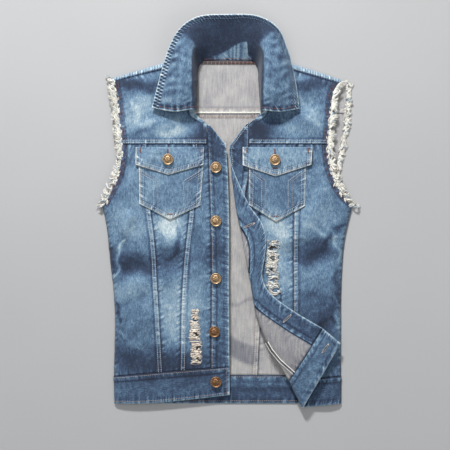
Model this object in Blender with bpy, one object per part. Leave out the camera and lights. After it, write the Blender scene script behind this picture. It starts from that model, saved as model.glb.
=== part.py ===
"""A sleeveless denim vest laid on its back, its left front turned open, as closed solids in metres.

X runs to the viewer's right, Y towards the collar and Z up from the surface it lies on.
The origin is on the underside of the back, half way down the vest. Tables are in millimetres.
The wearer's right front, with the buttons, is at -X. A table's "out" is the distance from X = 0
on the side that it names.
"""
import math

import bmesh
import bpy
from mathutils import Matrix, Vector

MM = 0.001

# Cloth
CLOTH = 1.5          # one layer of denim
DOUBLE = 2.4         # two layers stitched flat: waistband, placket, collar
GAP = 0.3            # between pieces at a seam
BACK_TOP = CLOTH     # the back lies flat on the surface
REST = BACK_TOP + GAP

# Vest
YOKE_SEAM = 125      # height of the front yoke seam
UNDERARM = 6         # where the armhole meets the side seam
HEM = -369
BAND_SEAM_SIDE = -317
PLACKET = 38         # width of the button and buttonhole strips
LEFT_PLACKET_LINE = 40   # x of the left strip's inner edge above the turn
PUFF = 13            # how far the fronts stand off the back
SIDE_REACH = 48      # over how far they round down to the side seam
SHOULDER_REACH = 40
HEM_KEEP = 0.42      # share of the puff that is left at the hem

SIDE_EDGE = {        # (y, out) of the side seam, hem to underarm
    "right": [(-369, 216), (-314, 217), (-209, 215), (-152, 218), (-99, 224), (-38, 230), (6, 238)],
    "left": [(-369, 215), (-314, 215), (-247, 215), (-171, 215), (-114, 217), (-57, 222), (6, 236)],
}
ARMHOLE = {          # (y, out) of the front's cut armhole, underarm to shoulder
    "right": [(6, 238), (28, 226), (57, 213), (95, 203), (133, 203), (171, 207), (209, 211), (250, 220)],
    "left": [(6, 236), (38, 211), (76, 196), (114, 190), (152, 192), (190, 196), (224, 201), (246, 214)],
}
BACK_ARMHOLE = {     # (y, out) of the back's cut armhole
    "right": [(6, 238), (28, 228), (57, 216), (95, 207), (133, 206), (171, 209), (209, 213), (248, 221)],
    "left": [(6, 236), (38, 216), (76, 208), (114, 214), (152, 222), (190, 226), (224, 228), (246, 230)],
}
SHOULDER_FOLD = {    # (out, y) of the top edge, where the back yoke comes over to the front
    "right": [(66, 294), (120, 281), (167, 266), (220, 250)],
    "left": [(66, 294), (120, 279), (167, 264), (218, 246)],
}
SHOULDER_SEAM = {    # (out, y) of the seam in front of it
    "right": [(66, 281), (120, 268), (167, 257), (220, 244)],
    "left": [(66, 281), (120, 266), (167, 253), (218, 239)],
}
NECK_SIDE = [(150, 20), (165, 41), (175, 54), (186, 62), (230, 64), (281, 66)]   # (y, out) of the neckline
OUTER_SEAM = {       # (y, out) of the seam between side and middle panels
    "right": [(-310, 124), (-152, 133), (-57, 139), (-4, 146), (125, 154)],
    "left": [(-316, 124), (-171, 124), (-4, 125), (125, 133)],
}
INNER_SEAM = [(-304, 91), (-171, 89), (-76, 82), (-4, 74), (125, 68)]            # (y, out), right front
PLACKET_LINE = [(-296, 33), (-76, 32), (114, 38), (165, 40)]                     # (y, out), right front
FREE_EDGE = [(-352, 3), (-130, 1.5), (-40, 2), (22, 1), (76, -1), (121, -4)]     # (y, x), right front
BAND_SEAM = [(-217, -317), (-120, -308), (-34, -301), (3, -298)]                # (x, y), right front
BAND_HEM = [(-216, -369), (-148, -368), (-72, -361), (3, -352)]                 # (x, y), right front

# The left front turns over along its roll line. Rows run from the neck to the waistband seam.
ROLL = [
    (2, 166), (2, 137), (2.2, 114), (7, 72), (17, -4), (26, -47),
    (32, -80), (38, -113), (45, -152), (52, -192), (74, -250), (116, -324),
]
EDGE = [             # the free edge at the same rows
    (37, 166), (15, 137), (2.2, 114), (11, 74), (39, 12), (63, -23),
    (72, -53), (70, -86), (65, -127), (82, -160), (128, -194), (179, -224),
]
ROLL_TIP = (142, -376)      # where the roll meets the hem
EDGE_CORNER = (213, -253)   # the free corner of the waistband
TURNED_SEAM = [(0.25, 68), (0.6, 80), (0.8, 90), (1.0, 95)]   # (row, distance in from the free edge)

FOLDS = [            # (x0, y0, x1, y1, half width, height); a trough has a negative height
    (-222, -78, -186, -14, 11, 6), (-232, -18, -196, -70, 9, -4), (-205, -118, -96, -92, 19, -5),
    (-196, -142, -104, -128, 20, 3), (-108, -60, -62, -112, 16, 3), (-206, -250, -150, -205, 18, 3.5),
    (-196, -296, -128, -262, 16, -3), (-190, 40, -160, 96, 14, 3), (-60, 205, -150, 150, 20, 3),
    (214, -74, 196, -158, 10, 6), (224, -40, 182, -84, 10, -4), (192, -96, 116, -84, 20, -5),
    (196, -232, 130, -170, 18, 4), (205, -205, 168, -246, 12, -4), (184, 30, 150, -40, 17, 3.5),
    (72, 215, 164, 160, 18, 4), (96, 176, 172, 210, 14, -3), (150, -10, 120, -60, 14, 3),
]

BUTTON_RADIUS = 10.5
BUTTONS = {          # x, y of each button
    "placket_1": (-23, 81), "placket_2": (-23, -21), "placket_3": (-23, -130), "placket_4": (-26, -231),
    "placket_5": (-23, -327), "flap_right": (-114, 96), "flap_left": (89, 95),
}
POCKET = {           # corners: top inner, top outer, lower outer, tip, lower inner
    "right": [(-46, 92), (-169, 92), (-168, 12), (-110, -18), (-53, 9)],
    "left": [(40, 92), (148, 92), (146, 8), (91, -22), (40, 10)],
}
FLAP = {             # corners: top inner, top outer, lower outer, tip, lower inner
    "right": [(-46, 119), (-175, 119), (-175, 86), (-113, 67), (-47, 86)],
    "left": [(28, 119), (160, 119), (158, 86), (90, 64), (28, 85)],
}
RIPS = {             # (x, y, half width, half height) of each gap between bands of bared thread
    "right_centre": [(-62, -207, 5, 5), (-60, -236, 6, 4), (-58, -262, 6, 5), (-56, -283, 5, 4)],
    "left_middle": [(84, -71, 7, 6), (86, -92, 6, 5), (85, -113, 6, 5), (88, -133, 6, 5), (88, -152, 6, 5)],
}


# Curves and tables

def follow(rows):
    """A smooth line through rows of (at, value), as a function that goes on straight past its ends."""
    rows = sorted(rows)
    last = len(rows) - 1
    slopes = []
    for i in range(last + 1):
        before, after = rows[max(i - 1, 0)], rows[min(i + 1, last)]
        slopes.append((after[1] - before[1]) / (after[0] - before[0]))

    def value(at):
        if at <= rows[0][0]:
            return rows[0][1] + slopes[0] * (at - rows[0][0])
        if at >= rows[last][0]:
            return rows[last][1] + slopes[last] * (at - rows[last][0])
        i = max(k for k in range(last) if rows[k][0] <= at)
        span = rows[i + 1][0] - rows[i][0]
        t = (at - rows[i][0]) / span
        return (
            (2 * t**3 - 3 * t**2 + 1) * rows[i][1] + (t**3 - 2 * t**2 + t) * span * slopes[i]
            + (3 * t**2 - 2 * t**3) * rows[i + 1][1] + (t**3 - t**2) * span * slopes[i + 1]
        )

    return value


def thread(points):
    """A smooth line through points, as a function of 0 to 1 that spends an equal share on each stretch."""
    axes = [follow([(i, p[k]) for i, p in enumerate(points)]) for k in range(len(points[0]))]
    return lambda t: Vector([axis(t * (len(points) - 1)) for axis in axes])


def mix(a, b, t):
    return a * (1 - t) + b * t


def dome(share):
    """Rises from 0 as a quarter ellipse and is 1 from share 1 on."""
    share = min(max(share, 0.0), 1.0)
    return math.sqrt(1 - (1 - share) ** 2)


def ease(low, high, at):
    t = min(max((at - low) / (high - low), 0.0), 1.0)
    return t * t * (3 - 2 * t)


side_edge = {side: follow(rows) for side, rows in SIDE_EDGE.items()}
armhole = {side: follow(rows) for side, rows in ARMHOLE.items()}
back_armhole = {side: follow(rows) for side, rows in BACK_ARMHOLE.items()}
shoulder_fold = {side: follow(rows) for side, rows in SHOULDER_FOLD.items()}
shoulder_seam = {side: follow(rows) for side, rows in SHOULDER_SEAM.items()}
outer_seam = {side: follow(rows) for side, rows in OUTER_SEAM.items()}
neckline, inner_seam, placket_line = follow(NECK_SIDE), follow(INNER_SEAM), follow(PLACKET_LINE)
free_edge, band_seam, band_hem = follow(FREE_EDGE), follow(BAND_SEAM), follow(BAND_HEM)
SIGN = {"right": -1, "left": 1}


def yoke_inner(y):
    """How far out the yoke's inner edge is: the placket's line, then the neckline."""
    return max(LEFT_PLACKET_LINE + GAP, neckline(y))


# The lie of the fronts: the height of the middle of the cloth over any point

def outline_out(side, y):
    return side_edge[side](y) if y < UNDERARM else armhole[side](y)


def folds_at(x, y):
    total = 0.0
    for x0, y0, x1, y1, width, height in FOLDS:
        run = Vector((x1 - x0, y1 - y0))
        away = Vector((x - x0, y - y0))
        along = away.dot(run) / run.length_squared
        off = (away - run * min(max(along, 0.0), 1.0)).length
        total += height * math.exp(-((off / width) ** 2))
    return total


def front_height(side, x, y):
    out = x * SIGN[side]
    inward = outline_out(side, y) - out
    edge = dome(inward / SIDE_REACH)
    open_edge = ease(UNDERARM - 4, UNDERARM + 50, y) * 0.5
    edge = open_edge + (1 - open_edge) * edge
    shoulder = dome((shoulder_fold[side](out) - y) / SHOULDER_REACH)
    hem = HEM_KEEP + (1 - HEM_KEEP) * ease(HEM, HEM + 120, y)
    tied = ease(0, 40, inward) * ease(HEM, HEM + 60, y) * ease(0, 30, shoulder_fold[side](out) - y)
    return REST + CLOTH / 2 + PUFF * edge * shoulder * hem + folds_at(x, y) * tied


def fold_height(side, x, y):
    """As front_height, but right down to the back at the very edge, for panels with a side seam."""
    height = front_height(side, x, y)
    return height - (CLOTH / 2) * (1 - ease(0, 6, outline_out(side, y) - x * SIGN[side])) * (y < UNDERARM)


# The turned left front: c is the distance from its free edge, row is 0 at the neck and 1 at the waistband

roll_line, edge_line = thread(ROLL), thread(EDGE)
turned_seam = follow(TURNED_SEAM)
V_ROW = 2 / (len(ROLL) - 1)     # the row of the point where the turning starts
STRIP_ROWS, CENTRE_ROWS = 28, 24    # the centre panel stops at the yoke seam, the placket at the neck


def turned_width(row):
    return max((edge_line(row) - roll_line(row)).length, 0.0) if row > V_ROW else 0.0


def lap(width, c, start, over, under, roll_height, spring):
    """Where a point at distance c from the free edge lies, on a sheet that turns over at start."""
    beyond = c - width
    reach = 2.2 * spring
    if beyond < 0:
        place = start + over * -beyond
    else:
        place = start + under * beyond
    low = front_height("left", place.x, place.y) - roll_height(place.x, place.y)
    middle = low + spring
    swing = dome(abs(beyond) / reach) * spring
    if beyond < 0:
        free = 1 - min(c / max(width, 1.0), 1.0)
        settle = ease(0.35, 1.0, free) * spring * 0.7
        return Vector((place.x, place.y, middle + swing - settle))
    return Vector((place.x, place.y, middle - swing))


def spring_at(row):
    """Half the height of the roll."""
    return 1.9 + 5.6 * ease(V_ROW, 1.0, row)


def sink_near_roll(x, y):
    """The under layer lies lower beside the roll."""
    row_x = roll_x(y)
    return 6.0 * (1 - ease(0, 70, x - row_x)) * ease(130, 60, y) if y < 130 else 0.0


def turned(c, row):
    row_here = min(max(row, 0.0), 1.02)
    start = roll_line(row_here)
    if row_here <= V_ROW:
        start = edge_line(row_here)
        place = start + Vector((c, 0.0))
        return Vector((place.x, place.y, front_height("left", place.x, place.y) + (DOUBLE - CLOTH) / 2))
    width = turned_width(row_here)
    over = (edge_line(row_here) - start).normalized() if width > 0.5 else Vector((1.0, 0.0))
    under = mix(Vector((1.0, 0.0)), Vector((0.97, -0.12)), row_here).normalized()
    spring = spring_at(row_here) * ease(0, 14, width + 4)
    return lap(width, c, start, over, under, sink_near_roll, spring)


def table_of_roll():
    steps = [V_ROW + (1 - V_ROW) * i / 40 for i in range(41)]
    return follow([(roll_line(row).y, roll_line(row).x) for row in steps])


roll_x = table_of_roll()


def placket_share(row):
    """How wide the left placket is at a row: its top is cut slanting."""
    if row <= V_ROW:
        return LEFT_PLACKET_LINE - edge_line(row).x
    return mix(LEFT_PLACKET_LINE - edge_line(V_ROW).x, PLACKET, ease(V_ROW, V_ROW + 0.1, row))


def inner_limit(row):
    """The far edge of the left centre panel: the inner seam, or just past the roll."""
    return max(turned_seam(row), turned_width(row) + 5.0)


def centre_edge_table():
    steps = [V_ROW * 0.7 + (1 - V_ROW * 0.7) * i / 40 for i in range(41)]
    points = [turned(inner_limit(row), row) for row in steps]
    return follow([(p.y, p.x) for p in points])


# Solids

def material(name, colour, roughness, metallic=0.0):
    made = bpy.data.materials.new(name)
    made.use_nodes = True
    shader = made.node_tree.nodes["Principled BSDF"]
    shader.inputs["Base Color"].default_value = (*colour, 1)
    shader.inputs["Roughness"].default_value = roughness
    shader.inputs["Metallic"].default_value = metallic
    return made


def finish_object(name, mesh, look):
    mesh.materials.append(look)
    made = bpy.data.objects.new(name, mesh)
    bpy.context.scene.collection.objects.link(made)
    mesh.shade_smooth()
    mesh.set_sharp_from_angle(angle=math.radians(50))
    return made


def normal_at(surface, u, v):
    step = 1e-3
    across = surface(u + step, v) - surface(u - step, v)
    along = surface(u, v + step) - surface(u, v - step)
    return across.cross(along).normalized()


def shell(name, surface, columns, rows, thickness, look, spacing=None):
    """A closed wall round surface(u, v), the middle of the cloth, with u x v towards its outer face."""
    spacing = spacing or (lambda u: u)
    outer, inner = [], []
    for j in range(rows + 1):
        for i in range(columns + 1):
            u, v = spacing(i / columns), j / rows
            place = surface(u, v)
            push = normal_at(surface, u, v) * thickness / 2
            outer.append((place + push) * MM)
            inner.append((place - push) * MM)
    count = len(outer)
    faces = []

    def at(i, j):
        return j * (columns + 1) + i

    for j in range(rows):
        for i in range(columns):
            a, b, c, d = at(i, j), at(i + 1, j), at(i + 1, j + 1), at(i, j + 1)
            faces.append((a, b, c, d))
            faces.append((d + count, c + count, b + count, a + count))
    ring = [at(i, 0) for i in range(columns)] + [at(columns, j) for j in range(rows)]
    ring += [at(i, rows) for i in range(columns, 0, -1)] + [at(0, j) for j in range(rows, 0, -1)]
    for a, b in zip(ring, ring[1:] + ring[:1]):
        faces.append((b, a, a + count, b + count))
    mesh = bpy.data.meshes.new(name)
    mesh.from_pydata(outer + inner, [], faces)
    mesh.update()
    return finish_object(name, mesh, look)


def region(left, right, bottom, top, inset=GAP / 2):
    """Plan points of a panel between four edges: left and right give x for y, bottom and top give y for x."""

    def plan(u, v):
        x, y = mix(left(0.0), right(0.0), u), mix(bottom(0.0), top(0.0), v)
        for _ in range(12):
            y = mix(bottom(x) + inset, top(x) - inset, v)
            x = mix(left(y) + inset, right(y) - inset, u)
        return x, y

    return plan


def level(y):
    return lambda x: y


def mirrored(side, table):
    """The x of an edge given as distance out."""
    return lambda y: SIGN[side] * table(y)


def panel(name, side, left, right, bottom, top, columns, rows, look,
          thickness=CLOTH, lift=0.0, spacing=None):
    """One cut panel of a front, following the lie of the cloth."""
    plan = region(left, right, bottom, top)

    def surface(u, v):
        x, y = plan(u, v)
        height = (fold_height if lift == 0 else front_height)(side, x, y)
        return Vector((x, y, height + lift))

    return shell(name, surface, columns, rows, thickness, look, spacing)


def crowd_low(u):
    """Columns closer together at the low side."""
    return u ** 1.9


def crowd_high(u):
    return 1 - (1 - u) ** 1.9


def patch(name, side, corners, depth, lift, columns, rows, look):
    """A pocket or a flap: five corners, the lower edge a wide V, laid on the front and moved out."""
    top_in, top_out, low_out, tip, low_in = [Vector(c) for c in corners]
    first, second = (top_out, top_in) if side == "right" else (top_in, top_out)
    low_first, low_second = (low_out, low_in) if side == "right" else (low_in, low_out)

    def surface(u, v):
        base = mix(low_first, tip, u * 2) if u < 0.5 else mix(tip, low_second, u * 2 - 1)
        place = mix(base, mix(first, second, u), v)
        rise = lift + depth * math.sin(math.pi * u) * math.sin(math.pi * min(v * 0.9 + 0.1, 1.0))
        return Vector((place.x, place.y, front_height(side, place.x, place.y) + rise))

    return shell(name, surface, columns, rows, CLOTH, look)


def cut_gaps(target, gaps, height):
    """Cuts ragged gaps through a panel."""
    mesh = bpy.data.meshes.new(target.name + "_gaps")
    shape = bmesh.new()
    for index, (x, y, half_x, half_y) in enumerate(gaps):
        base = []
        corners = 8
        for k in range(corners):
            turn = 2 * math.pi * k / corners + 0.2 * index
            ragged = 1.0 + 0.16 * math.sin(5.0 * turn + 1.7 * index)
            spot = (x + half_x * ragged * math.cos(turn), y + half_y * ragged * math.sin(turn))
            base.append(shape.verts.new(Vector((*spot, height - 14)) * MM))
        face = shape.faces.new(base)
        moved = bmesh.ops.extrude_face_region(shape, geom=[face])["geom"]
        bmesh.ops.translate(
            shape, vec=Vector((0, 0, 28 * MM)), verts=[g for g in moved if isinstance(g, bmesh.types.BMVert)]
        )
    bmesh.ops.recalc_face_normals(shape, faces=shape.faces)
    shape.to_mesh(mesh)
    shape.free()
    cutter = bpy.data.objects.new(target.name + "_gaps", mesh)
    bpy.context.scene.collection.objects.link(cutter)
    cutter.hide_render = True
    cutter.display_type = "WIRE"
    boolean = target.modifiers.new("rip", "BOOLEAN")
    boolean.operation = "DIFFERENCE"
    boolean.object = cutter
    boolean.solver = "EXACT"


# The back

def back_plate(name, left, right, bottom, top, columns, rows, look):
    plan = region(left, right, bottom, top)

    def surface(u, v):
        x, y = plan(u, v)
        return Vector((x, y, CLOTH / 2))

    return shell(name, surface, columns, rows, CLOTH, look)


def back_edge(side):
    def out(y):
        return SIGN[side] * (side_edge[side](y) if y < UNDERARM else back_armhole[side](y))
    return out


BACK_YOKE_SEAM = 184
BACK_BAND_SEAM = -315
BACK_SEAM = [(-315, 57), (184, 84)]    # (y, out) of the two back seams, which run straight


def make_back(denim):
    seam = follow(BACK_SEAM)
    for side in ("right", "left"):
        edge, inner = back_edge(side), mirrored(side, seam)
        left, right = (edge, inner) if side == "right" else (inner, edge)
        back_plate(f"{side}_back_side", left, right, level(BACK_BAND_SEAM), level(UNDERARM), 2, 6, denim)
        back_plate(f"{side}_back_blade", left, right, level(UNDERARM), level(BACK_YOKE_SEAM), 2, 8, denim)
    back_plate("back_centre", mirrored("right", seam), mirrored("left", seam), level(BACK_BAND_SEAM),
               level(BACK_YOKE_SEAM), 2, 6, denim)

    def yoke_top(x):
        side, out = ("right", -x) if x < 0 else ("left", x)
        neck = 283 - 2.0 * ease(50, 0, out)
        return mix(neck, shoulder_fold[side](max(out, 66)) - 2.5, ease(56, 70, out))

    back_plate("back_yoke", back_edge("right"), back_edge("left"), level(BACK_YOKE_SEAM), yoke_top, 18, 3, denim)
    back_plate("back_waistband", back_edge("right"), back_edge("left"), level(HEM), level(BACK_BAND_SEAM), 2, 2, denim)


def make_shoulder(side, denim):
    """The front edge of the back yoke, which comes over the shoulder to its seam with the front yoke."""
    sign = SIGN[side]
    outer_out = armhole[side](248)

    def surface(u, v):
        out = mix(66.5, outer_out - 0.5, u if side == "left" else 1 - u)
        top, seam = shoulder_fold[side](out), shoulder_seam[side](out)
        y = mix(seam + GAP / 2, top, dome(v))
        height = front_height(side, sign * out, seam)
        z = REST + CLOTH * 0.05 + (height - REST) * dome(min((top - y) / (top - seam), 1.0))
        return Vector((sign * out, y, z))

    shell(f"{side}_shoulder", surface, 8, 4, CLOTH, denim)


# The right front

def make_right_front(denim, worn):
    side = "right"
    edge, outer = mirrored(side, side_edge[side]), mirrored(side, outer_seam[side])
    inner, strip = mirrored(side, inner_seam), mirrored(side, placket_line)
    arm = mirrored(side, armhole[side])
    panel("right_yoke", side, arm, mirrored(side, yoke_inner), level(YOKE_SEAM),
          lambda x: shoulder_seam[side](-x), 9, 7, denim)
    panel("right_side", side, edge, outer, band_seam, level(UNDERARM), 8, 13, denim, spacing=crowd_low)
    panel("right_underarm", side, arm, outer, level(UNDERARM + GAP), level(YOKE_SEAM), 6, 6, denim)
    panel("right_middle", side, outer, inner, band_seam, level(YOKE_SEAM), 4, 15, worn)
    centre = panel("right_centre", side, inner, strip, band_seam, level(YOKE_SEAM), 4, 15, worn)
    cut_gaps(centre, RIPS["right_centre"], 15)

    def placket_top(x):
        return mix(165, 122, ease(-45, 5, x)) if x > -46 else 165

    panel("right_placket", side, strip, free_edge, band_seam, placket_top, 3, 18, denim, DOUBLE,
          (DOUBLE - CLOTH) / 2)
    plan = region(edge, free_edge, band_hem, band_seam)

    def band(u, v):
        x, y = plan(u, v)
        return Vector((x, y, fold_height(side, x, y) + (DOUBLE - CLOTH) / 2))

    shell("right_waistband", band, 12, 3, DOUBLE, denim, crowd_low)


# The left front

def make_left_front(denim, worn):
    side = "left"
    edge, outer = mirrored(side, side_edge[side]), mirrored(side, outer_seam[side])
    arm = mirrored(side, armhole[side])
    inner = centre_edge_table()
    bottom = follow([(112, -318), (150, -320), (190, -318), (216, -317)])
    panel("left_yoke", side, mirrored(side, yoke_inner), arm, level(YOKE_SEAM),
          lambda x: shoulder_seam[side](x), 9, 7, denim)
    panel("left_side", side, outer, edge, bottom, level(UNDERARM), 8, 13, denim, spacing=crowd_high)
    panel("left_underarm", side, outer, arm, level(UNDERARM + GAP), level(YOKE_SEAM), 6, 6, denim)
    plan = region(inner, outer, bottom, level(YOKE_SEAM))

    def middle(u, v):
        x, y = plan(u, v)
        return Vector((x, y, front_height(side, x, y) - sink_near_roll(x, y)))

    made = shell("left_middle", middle, 5, 18, CLOTH, worn)
    cut_gaps(made, RIPS["left_middle"], 13)

    def centre(u, v):
        row = 1.0 - v * CENTRE_ROWS / STRIP_ROWS
        share = placket_share(row)
        on_roll = math.exp(-((turned_width(row) - share) / 7.0) ** 2)
        ease_off = 2.2 * on_roll
        near, far = share + 2 * GAP + ease_off, inner_limit(row) - 3.5 * GAP
        fold = min(max(turned_width(row), mix(near, far, 0.12)), mix(near, far, 0.88))
        turn = (fold - near) / (far - near)
        if u < turn:
            return turned(fold - (fold - near) * (1 - u / turn) ** 1.3, row)
        return turned(fold + (far - fold) * ((u - turn) / (1 - turn)) ** 1.3, row)

    shell("left_centre", centre, 14, CENTRE_ROWS, CLOTH, denim)

    def strip(u, v):
        row = mix(1.0, 0.0, v)
        wide = placket_share(row) - GAP
        fold = min(max(turned_width(row), wide * 0.15), wide * 0.85)
        part = abs(2 * u - 1) ** 1.6
        c = fold * (1 - part) if u < 0.5 else mix(fold, wide, part)
        return turned(c, row)

    shell("left_placket", strip, 8, STRIP_ROWS, DOUBLE, denim)
    make_left_waistband(denim)


def make_left_waistband(denim):
    roll_seam, roll_hem = Vector(ROLL[-1]), Vector(ROLL_TIP)
    edge_seam, edge_hem = Vector(EDGE[-1]), Vector(EDGE_CORNER)

    def band(u, v):
        away = (roll_hem - roll_seam).normalized() * GAP
        start = mix(roll_hem, roll_seam + away, v)
        corner = mix(edge_hem, edge_seam + away, v)
        side = Vector((215.0, mix(HEM, BAND_SEAM_SIDE - GAP, v)))
        width, rest = (corner - start).length, (side - start).length
        c = (width + rest) * u
        over, under = (corner - start).normalized(), (side - start).normalized()
        spring = 7.5

        def sink(x, y):
            return 4.0 * (1 - ease(0, 60, x - start.x))

        place = lap(width, c, start, over, under, sink, spring)
        return Vector((place.x, place.y, place.z + (DOUBLE - CLOTH) / 2))

    shell("left_waistband", band, 26, 3, DOUBLE, denim)


# The collar: sections from its left end round the neck to its right end

COLLAR = [           # neck seam, break, middle of the leaf and outer edge, each (x, y, z)
    ((-62, 184, 21), (-67, 190, 33), (-103, 186, 31), (-144, 194, 24)),
    ((-60, 209, 20), (-69, 222, 41), (-98, 222, 40), (-135, 228, 26)),
    ((-59, 243, 13), (-69, 262, 44), (-93, 266, 44), (-124, 268, 27)),
    ((-57, 270, 6), (-67, 300, 40), (-86, 308, 45), (-110, 310, 33)),
    ((-48, 284, 3.2), (-53, 313, 27), (-67, 338, 41), (-89, 344, 40)),
    ((-27, 285.5, 3.2), (-29, 314, 17), (-33, 340, 29), (-54, 365, 40)),
    ((0, 286, 3.2), (0, 314, 14), (0, 341, 25), (0, 369, 38)),
    ((27, 285.5, 3.2), (29, 314, 17), (33, 340, 29), (55, 366, 40)),
    ((48, 284, 3.2), (54, 313, 27), (70, 336, 41), (94, 343, 40)),
    ((57, 270, 6), (67, 300, 40), (88, 302, 45), (113, 302, 33)),
    ((59, 243, 13), (68, 262, 44), (94, 262, 44), (124, 262, 27)),
    ((61, 209, 18), (67, 222, 41), (98, 220, 40), (131, 224, 26)),
    ((63, 184, 19), (67, 188, 33), (101, 186, 31), (135, 192, 24)),
]


def make_collar(denim):
    lines = [thread([section[k] for section in COLLAR]) for k in range(4)]

    def surface(u, v):
        return thread([line(u) for line in lines])(v)

    shell("collar", surface, 36, 8, DOUBLE, denim)


# Buttons and fringes

def turned_button(name, x, y, base, look):
    """A tack button: a shank through the cloth's face, a rim and a low dome."""
    radius = BUTTON_RADIUS
    profile = [
        (0, 0), (4, 0), (4, 2.2), (0.80 * radius, 2.4), (0.97 * radius, 3.3), (radius, 4.3),
        (0.93 * radius, 5.3), (0.78 * radius, 5.1), (0.62 * radius, 5.5), (0.3 * radius, 6.1), (0, 6.2),
    ]
    segments = 14
    shape = bmesh.new()
    rings = []
    for r, z in profile:
        if r == 0:
            rings.append([shape.verts.new((0, 0, z * MM))])
            continue
        turns = [2 * math.pi * k / segments for k in range(segments)]
        rings.append([shape.verts.new((r * math.cos(a) * MM, r * math.sin(a) * MM, z * MM)) for a in turns])
    for low, high in zip(rings, rings[1:]):
        for k in range(segments):
            n = (k + 1) % segments
            if len(low) == 1:
                shape.faces.new((low[0], high[n], high[k]))
            elif len(high) == 1:
                shape.faces.new((low[k], low[n], high[0]))
            else:
                shape.faces.new((low[k], low[n], high[n], high[k]))
    mesh = bpy.data.meshes.new(name)
    shape.to_mesh(mesh)
    shape.free()
    made = finish_object(name, mesh, look)
    made.location = Vector((x, y, base)) * MM
    return made


def make_buttons(brass):
    for name, (x, y) in BUTTONS.items():
        side = "left" if x > 0 else "right"
        cloth = front_height(side, x, y)
        if name.startswith("flap"):
            base = cloth + FLAP_LIFT + FLAP_DEPTH + CLOTH / 2 + GAP
        else:
            base = cloth + DOUBLE - CLOTH / 2 + 2 * GAP
        turned_button("button_" + name, x, y, base, brass)


POCKET_LIFT = CLOTH + GAP + 0.9
FLAP_LIFT = POCKET_LIFT + CLOTH + 1.6
POCKET_DEPTH = 2.0
FLAP_DEPTH = 1.6


def make_pockets(denim):
    for side in ("right", "left"):
        patch(f"{side}_pocket", side, POCKET[side], POCKET_DEPTH, POCKET_LIFT, 8, 7, denim)
        patch(f"{side}_flap", side, FLAP[side], FLAP_DEPTH, FLAP_LIFT, 8, 4, denim)


def fringe(name, path, height, outward, strands, reach, look, seed):
    """A narrow strip along a cut edge, with a row of tapering strands drawn out of its outer side."""
    shape = bmesh.new()
    thick, wide = 1.1, 3.0
    slots = strands * 2 - 1
    columns = []
    for i in range(slots + 1):
        t = i / slots
        place, step = path(t), path(min(t + 0.002, 1.0)) - path(max(t - 0.002, 0.0))
        across = Vector((step.y, -step.x)).normalized() * outward
        z = height(place.x, place.y)
        near, far = place + across * 0.65, place + across * (0.65 + wide)
        columns.append([
            shape.verts.new(Vector((near.x, near.y, z)) * MM), shape.verts.new(Vector((far.x, far.y, z)) * MM),
            shape.verts.new(Vector((far.x, far.y, z + thick)) * MM),
            shape.verts.new(Vector((near.x, near.y, z + thick)) * MM), across,
        ])
    outer = []
    for a, b in zip(columns, columns[1:]):
        for k in range(4):
            n = (k + 1) % 4
            face = shape.faces.new((a[k], a[n], b[n], b[k]))
            if k == 1:
                outer.append((face, (a[4] + b[4]).normalized()))
    shape.faces.new(columns[0][:4])
    shape.faces.new(columns[-1][:4])
    bmesh.ops.recalc_face_normals(shape, faces=shape.faces)
    for i, (face, across) in enumerate(outer[::2]):
        wave = math.sin(i * 2.399 + seed)
        swing = math.sin(i * 1.7 + seed * 3) * 0.55
        grow = reach * (0.72 + 0.28 * wave)
        side_step = Vector((-across.y, across.x))
        for share, narrow, climb in ((0.5, 0.62, 0.9), (0.5, 0.35, -0.4 + 0.6 * wave)):
            moved = bmesh.ops.extrude_discrete_faces(shape, faces=[face])["faces"][0]
            centre = moved.calc_center_median()
            bmesh.ops.scale(shape, vec=(narrow,) * 3, space=Matrix.Translation(-centre), verts=moved.verts)
            push = across * grow * share + side_step * grow * share * swing
            bmesh.ops.translate(shape, vec=Vector((push.x, push.y, climb)) * MM, verts=moved.verts)
            face = moved
    mesh = bpy.data.meshes.new(name)
    shape.to_mesh(mesh)
    shape.free()
    return finish_object(name, mesh, look)


def make_fringes(thread_look):
    for side, tables, low, high in (("right", armhole, 9, 247), ("left", armhole, 9, 237)):
        sign, edge = SIGN[side], tables[side]

        def path(t, edge=edge, sign=sign, low=low, high=high):
            y = mix(low, high, t)
            return Vector((sign * (edge(y) + 0.3), y))

        def height(x, y, side=side):
            return front_height(side, x, y) - 0.55

        fringe(f"{side}_front_fringe", path, height, sign, 36, 13.0, thread_look, 1.0 + sign)
    for side, low, high in (("right", 120, 244), ("left", 60, 243)):
        sign, edge = SIGN[side], back_armhole[side]

        def path(t, edge=edge, sign=sign, low=low, high=high):
            y = mix(low, high, t)
            return Vector((sign * (edge(y) + 0.3), y))

        fringe(f"{side}_back_fringe", path, lambda x, y: 0.2, sign, 22, 11.0, thread_look, 4.0 + sign)


def main():
    for old in list(bpy.data.objects):
        bpy.data.objects.remove(old)
    denim = material("denim", (0.13, 0.23, 0.38), 0.85)
    worn = material("worn denim", (0.30, 0.42, 0.55), 0.88)
    brass = material("brass", (0.62, 0.42, 0.20), 0.35, 1.0)
    threads = material("bared thread", (0.82, 0.80, 0.72), 0.9)
    make_back(denim)
    for side in ("right", "left"):
        make_shoulder(side, denim)
    make_right_front(denim, worn)
    make_left_front(denim, worn)
    make_collar(denim)
    make_pockets(denim)
    make_buttons(brass)
    make_fringes(threads)


main()
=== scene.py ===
"""A sleeveless denim vest laid on its back with its left front turned open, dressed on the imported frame.

Tables are in millimetres: X to the viewer's right, Y towards the collar, Z up from the floor. The
wearer's right front, with the buttons, is at -X. "Out" is the distance from X = 0 on a named side.
"""
import math

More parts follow.
